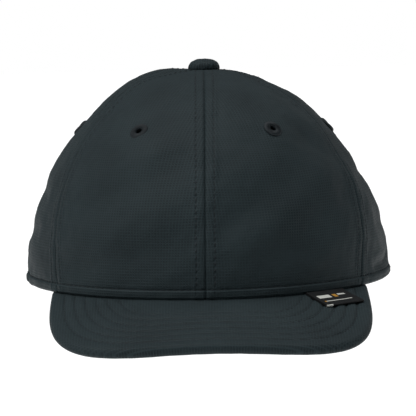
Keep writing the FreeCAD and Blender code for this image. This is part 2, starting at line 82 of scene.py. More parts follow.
# Hem, seams and stitches
HEM = 4.3
TOPSTITCH = 4.1
SEAM_REACH = 25.0
STITCH_PITCH = 2.9
STITCH_LENGTH = 2.1
THREAD_R = 0.24
THREAD_LIFT = 0.08
ARC_RINGS = 5
ARC_SIDES = 6
TAPE_HALF_WIDTH = 6.0
TAPE_FOOT = 1.5
TAPE_TOP = 80.0
TAPE_OUTER = 0.95
TAPE_INNER = 1.4

# Visor
VISOR_HALF_WIDTH = 72.5
VISOR_START = 52.0
VISOR_LENGTH = 86.5
VISOR_POWER = 4.6
# The corner on the wearer's right is rounder than the other
VISOR_LOSS = 0.5
VISOR_END = 56.5
VISOR_SLOPE = 20.0
VISOR_EASE = 6.0
VISOR_THICK = 4.1
VISOR_COVER = 0.9
VISOR_CURL = 2.3
VISOR_SEWN = -1.4
VISOR_UNDER_FULLNESS = 0.6
VISOR_ROWS = (7.0, 11.7, 16.4, 21.1, 25.8, 30.5)
ALLOWANCE_INSET = 1.7

# Label
LABEL_TURN = 35.8
LABEL_WIDTH = 22.0
LABEL_REACH = 15.0
LABEL_THICK = 0.9
LABEL_GAP = 0.9
LABEL_LIFT = 0.35
LABEL_PLY = 0.3
# Plain blocks that stand for the tag's marks: place across, reach, and half sizes
PALE_BLOCKS = ((-5.2, 6.0, 3.6, 1.5), (5.4, 5.2, 2.2, 0.7), (-0.6, 10.9, 7.8, 0.28))
AMBER_BLOCKS = ((1.2, 6.0, 1.1, 1.5), (-8.4, 10.9, 0.5, 0.5))

# Rear closure
ARCH_HALF_WIDTH = 40.0
ARCH_HEIGHT = 45.0
STRAP_LOW = 3.5
STRAP_HIGH = 21.5
BAR_DEPTH = -0.225
FOLD_R = 1.175
NEAR_BAR = 20.0
FAR_BAR = 26.0
# Along the crown's edge from the rear centre, and depth in from the crown's outer surface
WEB_THICK = 1.0
PILE_THICK = 0.86
KEEPER_THICK = 0.78
MAIN_DEPTH = 1.45
LOOP_DEPTH = 0.42
HOOK_DEPTH = -0.88
TAIL_DEPTH = -1.9
STRAP_SEWN_END = 52.1
STITCH_DEPTH = -2.43
TAIL_END = -24.0
HOOK_FROM = -5.0
HOOK_TO = -23.0
LOOP_END = -28.2
TAIL_ROWS = (-4.2, -22.3)
KEEPER_SETTLED = 32.0
KEEPER_OUTER = 1.35
KEEPER_INNER = 2.2

# Lining, shell and pads
BAND_END = 142.0
BAND_FOOT = 1.0
BAND_TOP = 33.0
BAND_BACK = 2.62
BAND_STITCH = 2.4
BAND_FACE = 2.98
SHELL_FRONT_EDGE = 34.0
SHELL_REAR_EDGE = 53.0
SHELL_DEPTH = 4.2
SHELL_THICK = 2.0
PAD_DEPTH = 6.3
PAD_THICK = 5.0
PAD_FOOT = 3.0
PAD_GROOVES = (-21.0, -7.0, 7.0, 21.0)
CROWN_PAD_FOOT = 69.0
CROWN_PAD_RISE = 14.0
SIDE_PADS = {
    "pad_front": (-40.0, 40.0, 48.0),
    "pad_left": (62.0, 118.0, 49.0),
    "pad_rear": (142.0, 218.0, 51.0),
    "pad_right": (242.0, 298.0, 49.0),
}
DOT_R = 9.0
DOT_PLACES = ((32.0, 66.0), (-32.0, 66.0), (150.0, 66.0), (-150.0, 66.0))
# Depths of the two halves of the disc fastening, and the body that each rides
DOT_LAYERS = (("crown_loop_dots", 0.95, 2.4, "cap"), ("insert_hook_dots", 2.85, 4.14, "insert"))

# The floor lies below the insert at the end of its slide
FLOOR_HEIGHT = -116.0
FLOOR_R = 7000.0

# Creases of the worn cloth: turn and rise at each end, depth and width
CREASES = (
    (-89.0, 8.0, -79.0, 1.0, 0.9, 2.4),
    (64.0, 4.2, 84.0, 5.4, 0.8, 2.4),
    (-101.0, 27.0, -76.0, 25.0, 0.6, 4.5),
    (-97.0, 13.0, -74.0, 15.0, 0.6, 4.0),
    (98.0, 31.0, 70.0, 28.0, 0.9, 5.5),
    (97.0, 13.0, 72.0, 16.0, 0.6, 4.0),
    (46.0, 42.0, 8.0, 20.0, 1.1, 8.0),
    (51.0, 24.0, 16.0, 9.0, 0.9, 7.0),
    (-12.0, 36.0, -46.0, 22.0, 0.8, 8.0),
    (-8.0, 15.0, -42.0, 7.0, 0.7, 6.5),
    (140.0, 30.0, 122.0, 14.0, 0.6, 6.0),
    (-138.0, 34.0, -124.0, 16.0, 0.6, 6.0),
)


# --- Camera, lights and stage -------------------------------------------------------------------


def make_camera():
    """Level with the visor and a little above it, far off through a long lens."""
    elevation = math.radians(4.9)
    yaw = math.radians(0.3)
    roll = math.radians(1.32)
    ahead = Vector((0, math.cos(elevation), -math.sin(elevation)))
    up = Vector((0, math.sin(elevation), math.cos(elevation)))
    right = Vector((1, 0, 0))
    target = right * 0.4 * MM + up * 32.1 * MM
    place = target - ahead * 1.2
    spin = Matrix.Rotation(-yaw, 3, "Z")
    side = right * math.cos(roll) - up * math.sin(roll)
    top = right * math.sin(roll) + up * math.cos(roll)
    axes = Matrix((spin @ side, spin @ top, spin @ -ahead)).transposed()
    data = bpy.data.cameras.new("camera")
    data.lens = 217.0
    data.sensor_width = 36.0
    camera = bpy.data.objects.new("camera", data)
    camera.matrix_world = Matrix.Translation(spin @ place) @ axes.to_4x4()
    bpy.context.scene.collection.objects.link(camera)
    bpy.context.scene.camera = camera


def make_sun(name, towards, strength, spread):
    """A broad soft light from far off, shining from a direction."""
    data = bpy.data.lights.new(name, "SUN")
    data.energy = strength
    data.angle = math.radians(spread)
    light = bpy.data.objects.new(name, data)
    light.rotation_euler = Vector(towards).to_track_quat("Z", "Y").to_euler()
    bpy.context.scene.collection.objects.link(light)


# --- Nodes and materials ------------------------------------------------------------------------


def linear(colour):
    """An sRGB hex colour as linear red, green, blue and alpha."""
    parts = [int(colour[i : i + 2], 16) / 255 for i in (1, 3, 5)]
    return [c / 12.92 if c <= 0.04045 else ((c + 0.055) / 1.055) ** 2.4 for c in parts] + [1.0]


def add(tree, kind, inputs=None, **settings):
    """A new node of a kind. Each input takes a value, or a link from another node's output."""
    node = tree.nodes.new(kind)
    for name, value in settings.items():
        setattr(node, name, value)
    for key, value in (inputs or {}).items():
        if isinstance(value, bpy.types.NodeSocket):
            tree.links.new(value, node.inputs[key])
        else:
            node.inputs[key].default_value = value
    return node


def new_material(name, **shader):
    """A material, its tree and its shader. Constant values go on the shader's own sockets."""
    material = bpy.data.materials.new(name)
    material.use_nodes = True
    tree = material.node_tree
    principled = tree.nodes["Principled BSDF"]
    for key, value in shader.items():
        principled.inputs[key.replace("_", " ")].default_value = value
    return material, tree, principled


def maths(tree, operation, first, second=0.0):
    """One sum on values or outputs."""
    return add(tree, "ShaderNodeMath", {0: first, 1: second}, operation=operation).outputs[0]


def lines(tree, coordinate, pitch, share):
    """1 along evenly spaced lines and 0 between them: pitch apart in mm, each a share of it wide."""
    near = maths(tree, "PINGPONG", maths(tree, "DIVIDE", coordinate, pitch * MM), 0.5)
    ramp = {"Value": near, "From Min": share / 2, "From Max": share / 2 + 0.12}
    ramp |= {"To Min": 1.0, "To Max": 0.0}
    return add(tree, "ShaderNodeMapRange", ramp, interpolation_type="SMOOTHSTEP").outputs[0]


def noise(tree, where, size, detail=2.0):
    """Soft blotches about a size in mm across."""
    inputs = {"Vector": where, "Scale": 1 / (size * MM), "Detail": detail}
    return add(tree, "ShaderNodeTexNoise", inputs).outputs[0]


def total(tree, *terms):
    """The sum of values, each times its weight."""
    parts = [maths(tree, "MULTIPLY", value, weight) for value, weight in terms]
    result = parts[0]
    for part in parts[1:]:
        result = maths(tree, "ADD", result, part)
    return result


def paint_and_bump(tree, principled, tone, dark, light, height, relief):
    """Colour from dark to light by a tone, and a bump from a height."""
    mix = add(tree, "ShaderNodeMix", {0: tone, 6: linear(dark), 7: linear(light)}, data_type="RGBA")
    bump = add(tree, "ShaderNodeBump", {"Height": height, "Strength": relief, "Distance": BUMP_DEPTH})
    tree.links.new(mix.outputs[2], principled.inputs["Base Color"])
    tree.links.new(bump.outputs[0], principled.inputs["Normal"])


def cloth_material(
    name, dark, light, pitch, contrast, relief, mottle=0.18, weave=(0.55, 0.55), **shader
):
    """Woven or knitted cloth: raised threads along both ways, finer threads between, and faint wear.

    pitch is the spacing of the raised threads in mm and weave that of the fine ones, each drawn no
    finer than it needs to show. The colour goes from dark between the threads to light on them.
    """
    material, tree, principled = new_material(name, **shader)
    place = add(tree, "ShaderNodeTexCoord").outputs["Object"]
    along = add(tree, "ShaderNodeUVMap", uv_map="cloth").outputs[0]
    split = add(tree, "ShaderNodeSeparateXYZ", {0: along}).outputs
    threads = [lines(tree, split[way], pitch, 0.2) for way in (0, 1)]
    grid = maths(tree, "MAXIMUM", *threads)
    turns = [maths(tree, "MULTIPLY", split[way], math.pi / (weave[way] * MM)) for way in (0, 1)]
    fine = maths(tree, "MULTIPLY", *[maths(tree, "SINE", turn) for turn in turns])
    wear = noise(tree, place, 26.0, 3.0)
    fuzz = noise(tree, place, 0.7, 1.0)
    height = total(tree, (grid, 0.6), (fine, 0.25), (fuzz, 0.35))
    tone = total(tree, (grid, contrast), (fine, contrast / 3), (wear, mottle * 4), (fuzz, mottle * 2))
    tone = maths(tree, "ADD", tone, 0.3 - mottle * 3)
    tone = add(tree, "ShaderNodeClamp", {"Value": tone}).outputs[0]
    paint_and_bump(tree, principled, tone, dark, light, height, relief)
    rough = add(tree, "ShaderNodeMapRange", {"Value": fuzz, "To Min": 0.5, "To Max": 0.72}).outputs[0]
    tree.links.new(rough, principled.inputs["Roughness"])
    return material


def grained_material(name, dark, light, size, relief, **shader):
    """A moulded, painted or foamed surface: fine grain a size in mm across, with faint blotches."""
    material, tree, principled = new_material(name, **shader)
    place = add(tree, "ShaderNodeTexCoord").outputs["Object"]
    grain = noise(tree, place, size, 3.0)
    tone = total(tree, (grain, 0.5), (noise(tree, place, 14.0, 2.0), 0.5))
    paint_and_bump(tree, principled, tone, dark, light, grain, relief)
    return material


def label_material():
    """Woven satin tag: near black, with off-white and amber blocks where the tag's own marks are, and a
    short pale line along its fold.
    """
    material = cloth_material(
        "woven_satin_tag", "#060708", "#0f1113", 0.8, 0.3, 0.3, Specular_IOR_Level=0.2
    )
    tree = material.node_tree
    principled = tree.nodes["Principled BSDF"]
    colour = principled.inputs["Base Color"].links[0].from_socket
    for mark, shade in (("pale_mark", "#b9bab4"), ("amber_mark", "#a4762a")):
        share = add(tree, "ShaderNodeAttribute", attribute_name=mark).outputs["Fac"]
        mix = add(tree, "ShaderNodeMix", {0: share, 6: colour, 7: linear(shade)}, data_type="RGBA")
        colour = mix.outputs[2]
    tree.links.new(colour, principled.inputs["Base Color"])
    return material


# Depth of the bump that a full step of height gives, in metres
BUMP_DEPTH = 0.0002
# Ripstop nylon, plain weave with raised threads about 1.1 mm apart: a faint square grid and a slight
# sheen. The grid is drawn 1.25 mm apart and the weave 0.55 mm, coarser than the real ones, to show.
NYLON = cloth_material(
    "ripstop_nylon", "#141c1f", "#253033", 1.25, 0.7, 0.7, mottle=0.28,
    Specular_IOR_Level=0.12, Sheen_Weight=0.02, Sheen_Roughness=0.45,
)
# Spun polyester thread, a little darker than the cloth it is sunk into.
THREAD = grained_material(
    "polyester_thread", "#12171a", "#22292d", 0.5, 0.3, Roughness=0.6, Specular_IOR_Level=0.2
)
# Woven binding tape with a fine cross rib.
TAPE = cloth_material("ribbed_binding_tape", "#151b1e", "#272f32", 1.0, 0.4, 0.6, Specular_IOR_Level=0.2)
# Nylon webbing: coarse herringbone ribs about 1.4 mm apart.
WEBBING = cloth_material(
    "nylon_webbing", "#151a1d", "#2a3135", 1.4, 0.6, 0.9, weave=(0.9, 0.7), Specular_IOR_Level=0.25
)
# Brushed knit of the sweatband: close loops, dull.
KNIT = cloth_material("brushed_knit", "#1a1f23", "#2d3438", 0.9, 0.3, 0.7, mottle=0.25, Sheen_Weight=0.15)
# EVA foam, cut and moulded: matt, with fine cells.
FOAM = grained_material("eva_foam", "#1c1e20", "#2f3235", 0.9, 0.5, Roughness=0.9)
# Injection-moulded ABS with a spark-eroded texture.
ABS = grained_material("moulded_abs", "#22262a", "#2f3438", 0.5, 0.25, Roughness=0.42, IOR=1.54)
# Brushed loop pile and hooks: dull and deep.
PILE = grained_material(
    "hook_and_loop_pile", "#14171a", "#30353a", 0.6, 1.0, Roughness=0.95, Sheen_Weight=0.4
)
# Black stoved enamel on steel wire.
WIRE = grained_material("enamelled_wire", "#101214", "#1c1f22", 0.8, 0.1, Roughness=0.3, Coat_Weight=0.4)
# Painted steel of the button's cap and rivet.
METAL = grained_material("painted_steel", "#303438", "#43484d", 1.0, 0.1, Roughness=0.35)
# Polyethylene visor board, smooth and waxy.
BOARD = grained_material("polyethylene_board", "#4a4e50", "#5a5f62", 2.0, 0.1, Roughness=0.5)
# Woven satin of the folded tag.
SATIN = label_material()


# --- Crown surface ------------------------------------------------------------------------------


def surface(turn, rise):
    """An ellipsoid, a little fuller half-way up than an ellipse, and fullest at the front."""
    p = np.radians(turn)
    s = np.radians(rise)
    length = (FRONT + REAR) / 2 + (FRONT - REAR) / 2 * np.cos(p)
    fullness = 1 + (END_FULLNESS + FRONT_FULLNESS * np.cos(p)) * np.sin(s) ** 2
    x = HALF_WIDTH * np.cos(s) * (1 + SIDE_FULLNESS * np.sin(s) ** 2) * np.sin(p)
    y = -length * np.cos(p) * np.cos(s) * fullness
    z = HEIGHT * np.sin(s)
    return np.stack(np.broadcast_arrays(x, y, z), -1)


def unit(vectors):
    """Vectors made one long."""
    return vectors / np.maximum(np.linalg.norm(vectors, axis=-1, keepdims=True), 1e-9)


def crown_normal(turn, rise):
    """Outward direction, the cross product of a short step round the crown and one up it."""
    step = 0.01
    around = surface(turn + step, rise) - surface(turn - step, rise)
    upward = surface(turn, rise + step) - surface(turn, rise - step)
    return unit(np.cross(around, upward))


def crown(turn, rise, depth):
    """A place in the crown's wall, depth in from its outer surface along the surface's normal."""
    depth = np.asarray(depth, float)[..., None]
    return surface(turn, rise) - crown_normal(turn, rise) * depth


def rise_at(height):
    """The rise at a height above the lower edge."""
    return np.degrees(np.arcsin(np.asarray(height) / HEIGHT))


def turn_scale(turn, rise):
    """Millimetres per degree of turn."""
    return np.linalg.norm(surface(turn + 0.05, rise) - surface(turn - 0.05, rise), axis=-1) / 0.1


def seam_turn(seam, rise):
    """Where a seam lies: the front ones sweep back as they climb, and the centre one leans a little."""
    rise = np.asarray(rise)
    if seam == 0:
        return -CENTRE_LEAN * (1 - rise / PANEL_TOP)
    if abs(seam) == FRONT_SEAM:
        sweep = FRONT_SEAM_SWEEP * np.sin(np.radians(1.6 * rise))
        return math.copysign(1, seam) * (FRONT_SEAM + sweep)
    return seam + 0.0 * rise


def waves(points, length, seed, count=14):
    """A smooth value around -1 to 1 at each point: sines near one wavelength, in random directions."""
    draw = np.random.default_rng(seed)
    ways = unit(draw.normal(size=(count, 3)))
    ways = ways * (2 * np.pi / length * draw.uniform(0.7, 1.3, count))[:, None]
    phases = draw.uniform(0, 2 * np.pi, count)
    return np.sin(points @ ways.T + phases).sum(-1) / math.sqrt(count / 2) / 1.6


def smooth(low, high, value):
    """0 below low, 1 above high, and an S curve between."""
    t = np.clip((value - low) / (high - low), 0, 1)
    return t * t * (3 - 2 * t)


# Broad swells of the soft crown: turn, rise, height in mm, and their widths in degrees both ways
SWELLS = ((-86, 67, 3.2, 40, 12), (88, 40, -2.1, 36, 16))


def bell(value, width):
    """1 at 0, falling to nothing a few widths either side."""
    return np.exp(-((value / width) ** 2))


def hem_height(rise):
    """The distance up the wall from the lower edge, in mm, near enough."""
    return np.asarray(rise) * np.pi / 180 * HEIGHT


def stitch_pull(distance):
    """1 at each stitch hole along a row and 0 half-way between."""
    return 0.5 + 0.5 * np.cos(2 * np.pi * distance / STITCH_PITCH)


def crease(turn, rise, line):
    """A shallow trough along a line, with a low ridge either side of it."""
    turn_a, rise_a, turn_b, rise_b, deep, wide = line
    scale = np.pi / 180 * HALF_WIDTH * np.cos(np.radians((rise_a + rise_b) / 2))
    across = (turn - turn_a) * scale
    upward = hem_height(rise - rise_a)
    end = np.array([(turn_b - turn_a) * scale, hem_height(rise_b - rise_a)])
    share = np.clip((across * end[0] + upward * end[1]) / (end @ end), 0, 1)
    away = np.hypot(across - share * end[0], upward - share * end[1])
    return 0.45 * deep * bell(away - 1.9 * wide, wide) - deep * bell(away, wide)


def soft_form(turn, rise):
    """How far the soft crown stands off its pattern.

    Low undulations fade out at the hem and the top. It is fuller high up on the wearer's right and
    sunk half-way up on the left, and creases cross it.
    """
    place = surface(turn, rise)
    free = smooth(0, 14, hem_height(rise)) * smooth(88, 76, rise)
    form = free * (0.7 * waves(place, 66, 3) + 0.45 * waves(place, 30, 5))
    for swell_turn, swell_rise, high, wide, tall in SWELLS:
        form = form + high * bell(turn - swell_turn, wide) * bell(rise - swell_rise, tall)
    for line in CREASES:
        form = form + crease(turn, rise, line)
    return form


def seam_relief(turn, rise, seam):
    """A sunk line over its raised allowances, with dips and puckers at the topstitch either side."""
    place = surface(turn, rise)
    gap = (turn - seam_turn(seam, rise) + 180) % 360 - 180
    across = np.minimum(np.abs(gap) * turn_scale(turn, rise), SEAM_REACH)
    ridge = 0.34 * (smooth(0.2, 1.5, across) - smooth(4.3, 6.4, across))
    sunk = -0.5 * bell(across, 0.33)
    dip = -(0.14 + 0.34 * stitch_pull(hem_height(rise))) * bell(across - TOPSTITCH, 0.42)
    pucker = 0.09 * waves(place, 7.5, 21) * bell(across - 3.2, 3.4)
    return (ridge + sunk + dip + pucker) * smooth(88, 80, rise)


def hem_relief(turn, rise):
    """The rolled hem, the dips at its row of stitches and the puckers above it."""
    height = hem_height(rise)
    length = turn * np.pi / 180 * HALF_WIDTH
    roll = 0.6 * smooth(-0.2, 1.3, height) * smooth(HEM + 0.3, HEM - 0.9, height)
    dip = -(0.26 + 0.34 * stitch_pull(length)) * bell(height - HEM, 0.5)
    tall = surface(turn, rise) * np.array([1, 1, 0.25])
    pucker = 0.16 * waves(tall, 8.5, 33) * bell(height - HEM - 1.0, 5.0)
    return roll - 0.55 * bell(height, 0.5) + dip + pucker


def relief(turn, rise):
    """How far the outer face stands off: the soft form, seams, hem and fine wrinkles."""
    place = surface(turn, rise)
    form = soft_form(turn, rise) + hem_relief(turn, rise)
    for seam in SEAMS:
        form = form + seam_relief(turn, rise, seam)
    return form + 0.09 * waves(place, 7.0, 41) + 0.03 * waves(place, 2.8, 43)


# --- Mesh helpers -------------------------------------------------------------------------------


def build(name, points, faces, material, uv=None, ride="cap", slot=None, replaces=(), marks=None):
    """A mesh object from points in mm and faces of three or four corners, riding on a body."""
    used, order = np.unique(faces, return_inverse=True)
    faces = order.reshape(faces.shape)
    points = points[used]
    mesh = bpy.data.meshes.new(name)
    count = faces.shape[1]
    mesh.vertices.add(len(points))
    mesh.vertices.foreach_set("co", (points * MM).astype(np.float32).ravel())
    mesh.loops.add(faces.size)
    mesh.loops.foreach_set("vertex_index", faces.astype(np.int32).ravel())
    mesh.polygons.add(len(faces))
    mesh.polygons.foreach_set("loop_start", np.arange(0, faces.size, count, dtype=np.int32))
    mesh.update(calc_edges=True)
    mesh.shade_smooth()
    if uv is not None:
        layer = mesh.uv_layers.new(name="cloth")
        layer.data.foreach_set("uv", (uv[used][faces.ravel()] * MM).astype(np.float32).ravel())
    for mark, values in (marks or {}).items():
        attribute = mesh.attributes.new(mark, "FLOAT", "POINT")
        attribute.data.foreach_set("value", values[used].astype(np.float32))
    mesh.validate()
    mesh.materials.append(material)
    piece = bpy.data.objects.new(name, mesh)
    bpy.context.scene.collection.objects.link(piece)
    if ride:
        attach(piece, ride)
    if replaces:
        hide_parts(*replaces)
    return piece


def slab_faces(keep, wrap=False):
    """Quads of a closed slab between two grids of points: both skins, and a wall round what is kept.

    keep says which cells of the grid exist. Skins come first and second in the list of points.
    """
    across, up = keep.shape
    columns = across if wrap else across + 1
    rows = up + 1
    i, j = np.nonzero(keep)
    near = i * rows + j
    far = ((i + 1) % columns) * rows + j
    skin = np.stack([near, far, far + 1, near + 1], -1)
    back = columns * rows
    faces = [skin, skin[:, ::-1] + back]
    padded = np.zeros((across + 2, up + 2), bool)
    padded[1:-1, 1:-1] = keep
    if wrap:
        padded[0, 1:-1] = keep[-1]
        padded[-1, 1:-1] = keep[0]
    corners = {
        (-1, 0): (near, near + 1),
        (1, 0): (far + 1, far),
        (0, -1): (far, near),
        (0, 1): (near + 1, far + 1),
    }
    for (di, dj), (start, end) in corners.items():
        bare = ~padded[i + 1 + di, j + 1 + dj]
        start = start[bare]
        end = end[bare]
        faces.append(np.stack([start, end, end + back, start + back], -1))
    return np.concatenate(faces)


def slab(name, outer, inner, material, uv=None, keep=None, wrap=False, **extra):
    """A closed sheet between an outer and an inner grid of points, each indexed [column, row]."""
    across = outer.shape[0] - (0 if wrap else 1)
    if keep is None:
        keep = np.ones((across, outer.shape[1] - 1), bool)
    points = np.concatenate([outer.reshape(-1, 3), inner.reshape(-1, 3)])
    if uv is not None:
        uv = np.concatenate([uv.reshape(-1, 2)] * 2)
    marks = extra.pop("marks", None)
    if marks:
        marks = {key: np.concatenate([value.ravel(), 0 * value.ravel()]) for key, value in marks.items()}
    return build(name, points, slab_faces(keep, wrap), material, uv, marks=marks, **extra)


def tube(name, centres, sides, outs, profile, material, **extra):
    """A closed profile, in mm along side and out directions, carried along a path, with capped ends."""
    ring = centres[:, None] + sides[:, None] * profile[None, :, :1] + outs[:, None] * profile[None, :, 1:]
    count, corners = ring.shape[:2]
    points = np.concatenate([ring.reshape(-1, 3), ring[0].mean(0)[None], ring[-1].mean(0)[None]])
    i, j = np.meshgrid(np.arange(count - 1), np.arange(corners), indexing="ij")
    following = (j + 1) % corners
    near = i * corners
    far = near + corners
    quads = np.stack([near + j, near + following, far + following, far + j], -1).reshape(-1, 4)
    turnwise = np.arange(corners)
    after = (turnwise + 1) % corners
    last = (count - 1) * corners
    middle = np.full(corners, count * corners)
    start = np.stack([after, turnwise, middle], -1)
    end = np.stack([last + turnwise, last + after, middle + 1], -1)
    lengths = np.concatenate([[0], np.cumsum(np.linalg.norm(np.diff(centres, axis=0), axis=1))])
    girth = np.concatenate([[0], np.cumsum(np.linalg.norm(np.diff(profile, axis=0), axis=1))])
    uv = np.stack(np.meshgrid(lengths, girth, indexing="ij"), -1).reshape(-1, 2)
    uv = np.concatenate([uv, uv[:1], uv[-1:]])
    triangles = np.concatenate([quads[:, [0, 1, 2]], quads[:, [0, 2, 3]], start, end])
    return build(name, points, triangles[:, ::-1], material, uv, **extra)


def thread_arcs(path, outs):
    """Short arcs of thread along a path, with their ends sunk into the cloth, as points and quads."""
    steps = np.linalg.norm(np.diff(path, axis=0), axis=1)
    travel = np.concatenate([[0], np.cumsum(steps)])
    count = int(travel[-1] // STITCH_PITCH)
    if count < 1:
        return np.zeros((0, 3)), np.zeros((0, 4), int)
    middle = (np.arange(count) + 0.5) * travel[-1] / count
    stations = np.linspace(-1, 1, ARC_RINGS)
    where = middle[:, None] + stations[None] * STITCH_LENGTH / 2
    centre = np.stack([np.interp(where, travel, path[:, axis]) for axis in range(3)], -1)
    out = unit(np.stack([np.interp(where, travel, outs[:, axis]) for axis in range(3)], -1))
    along = unit(np.gradient(centre, axis=1))
    side = unit(np.cross(along, out))
    centre = centre + out * (THREAD_LIFT * (1 - 2.1 * stations**2))[None, :, None]
    angles = np.arange(ARC_SIDES) * 2 * np.pi / ARC_SIDES
    thick = THREAD_R * np.array([0.55, 1, 1.08, 1, 0.55])
    ring = side[:, :, None] * np.cos(angles)[None, None, :, None]
    ring = ring + out[:, :, None] * np.sin(angles)[None, None, :, None]
    points = centre[:, :, None] + ring * thick[None, :, None, None]
    ranges = (np.arange(count), np.arange(ARC_RINGS - 1), np.arange(ARC_SIDES))
    k, i, j = np.meshgrid(*ranges, indexing="ij")
    near = (k * ARC_RINGS + i) * ARC_SIDES
    far = near + ARC_SIDES
    after = (j + 1) % ARC_SIDES
    body = np.stack([near + after, near + j, far + j, far + after], -1).reshape(-1, 4)
    first = np.arange(count)[:, None] * ARC_RINGS * ARC_SIDES
    last = first + (ARC_RINGS - 1) * ARC_SIDES
    caps = [first + [0, 1, 2, 3], first + [3, 4, 5, 0], last + [3, 2, 1, 0], last + [0, 5, 4, 3]]
    return points.reshape(-1, 3), np.concatenate([body] + caps)


def stitched(name, rows, **extra):
    """All the thread arcs of several rows as one piece. A row is a path and its outward directions."""
    points = []
    faces = []
    start = 0
    for path, outs in rows:
        row_points, row_faces = thread_arcs(path, outs)
        points.append(row_points)
        faces.append(row_faces + start)
        start += len(row_points)
    return build(name, np.concatenate(points), np.concatenate(faces), THREAD, slot="thread", **extra)


# --- Crown: panels, seams, eyelets, button ------------------------------------------------------


def arch_inside(points):
    """Whether points lie in the half-moon opening at the rear."""
    share = (points[..., 0] / ARCH_HALF_WIDTH) ** 2 + (points[..., 2] / ARCH_HEIGHT) ** 2
    return (share < 1) & (points[..., 1] > 0)


def make_panel(name, first, last, eyelet):
    """A crown panel on a grid, close-set beside its seams and its hem, with its eyelet's hole left out.

    Column share = t - 0.8 sin(2 pi t) / (2 pi), and rise = top * (t/4 + 3 t^2/4).
    """
    t = np.linspace(0, 1, 97)
    share = t - 0.8 * np.sin(2 * np.pi * t) / (2 * np.pi)
    t = np.linspace(0, 1, 241)
    rise = PANEL_TOP * (0.25 * t + 0.75 * t * t)
    share, rise = np.meshgrid(share, rise, indexing="ij")
    left = seam_turn(first, rise)
    turn = left + (seam_turn(last, rise) - left) * share
    outer = crown(turn, rise, -relief(turn, rise))
    inner = crown(turn, rise, PANEL_THICK - soft_form(turn, rise))
    across = (share - 0.5) * (seam_turn(last, 0.0) - seam_turn(first, 0.0)) * turn_scale(turn, rise)
    uv = np.stack([across, hem_height(rise)], -1)
    flat = surface(turn, rise)
    middle = (flat[:-1, :-1] + flat[1:, 1:]) / 2
    keep = np.linalg.norm(middle - surface(*eyelet), axis=-1) > EYELET_CUT_R
    keep &= ~arch_inside(middle)
    return slab(name + "_cloth", outer, inner, NYLON, uv, keep, slot="crown_cloth", replaces=(name,))


def make_eyelet(name, turn, rise):
    """A worked eyelet: a closed profile turned round the hole, its outer face ribbed by threads.

    profile holds radius and height in mm.
    """
    profile = np.array(
        [
            (1.5, -0.6), (1.5, 0.0), (1.62, 0.42), (2.0, 0.78), (2.7, 0.92), (3.4, 0.82), (4.0, 0.5),
            (4.4, 0.08), (4.38, -0.2), (2.7, -0.3), (2.6, -1.0), (4.1, -1.1), (4.2, -1.4), (3.3, -1.62),
            (2.2, -1.62), (1.6, -1.3),
        ]
    )
    angles = np.linspace(0, 2 * np.pi, 168, endpoint=False)
    ribs = 1 + 0.16 * np.cos(42 * angles)
    radius = profile[None, :, 0] * np.ones((168, 1))
    height = np.where(profile[:, 1] > 0.2, profile[:, 1] * ribs[:, None], profile[None, :, 1])
    out = crown_normal(turn, rise)
    side = unit(np.cross([0, 0, 1.0], out))
    up = np.cross(out, side)
    seat = crown(turn, rise, -float(soft_form(np.array(turn), np.array(rise))))
    points = seat + (radius * np.cos(angles)[:, None])[..., None] * side
    points = points + (radius * np.sin(angles)[:, None])[..., None] * up + height[..., None] * out
    i, j = np.meshgrid(np.arange(168), np.arange(16), indexing="ij")
    ahead = (i + 1) % 168
    after = (j + 1) % 16
    faces = np.stack([i * 16 + j, i * 16 + after, ahead * 16 + after, ahead * 16 + j], -1).reshape(-1, 4)
    points = points.reshape(-1, 3)
    return build(name + "_thread", points, faces, THREAD, slot="thread", replaces=(name,))


def make_crown():
    """Six panels with their eyelets, and the topstitch along the seams and round the hem."""
    bounds = {
        "front_left": (0.0, FRONT_SEAM),
        "side_left": (FRONT_SEAM, REAR_SEAM),
        "rear_left": (REAR_SEAM, 180.0),
        "front_right": (-FRONT_SEAM, 0.0),
        "side_right": (-REAR_SEAM, -FRONT_SEAM),
        "rear_right": (-180.0, -REAR_SEAM),
    }
    for name, (first, last) in bounds.items():
        place, side = name.split("_")
        turn, rise = EYELETS[place]
        turn = turn if side == "left" else -turn
        panel = make_panel("panel_" + name, first, last, (turn, rise))
        make_eyelet("eyelet_" + name, turn, rise)
    rows = []
    for seam in SEAMS:
        rise = np.linspace(rise_at(ARCH_HEIGHT + 4) if seam == 180 else 3.4, 84.5, 320)
        for side in (-1, 1):
            middle = seam_turn(seam, rise)
            turn = middle + side * TOPSTITCH / turn_scale(middle, rise)
            rows.append((crown(turn, rise, -relief(turn, rise)), crown_normal(turn, rise)))
    turn = np.linspace(-151.5, 151.5, 1500)
    rise = np.full_like(turn, math.degrees(HEM / HEIGHT))
    rows.append((crown(turn, rise, -relief(turn, rise)), crown_normal(turn, rise)))
    stitched("crown_topstitch", rows)


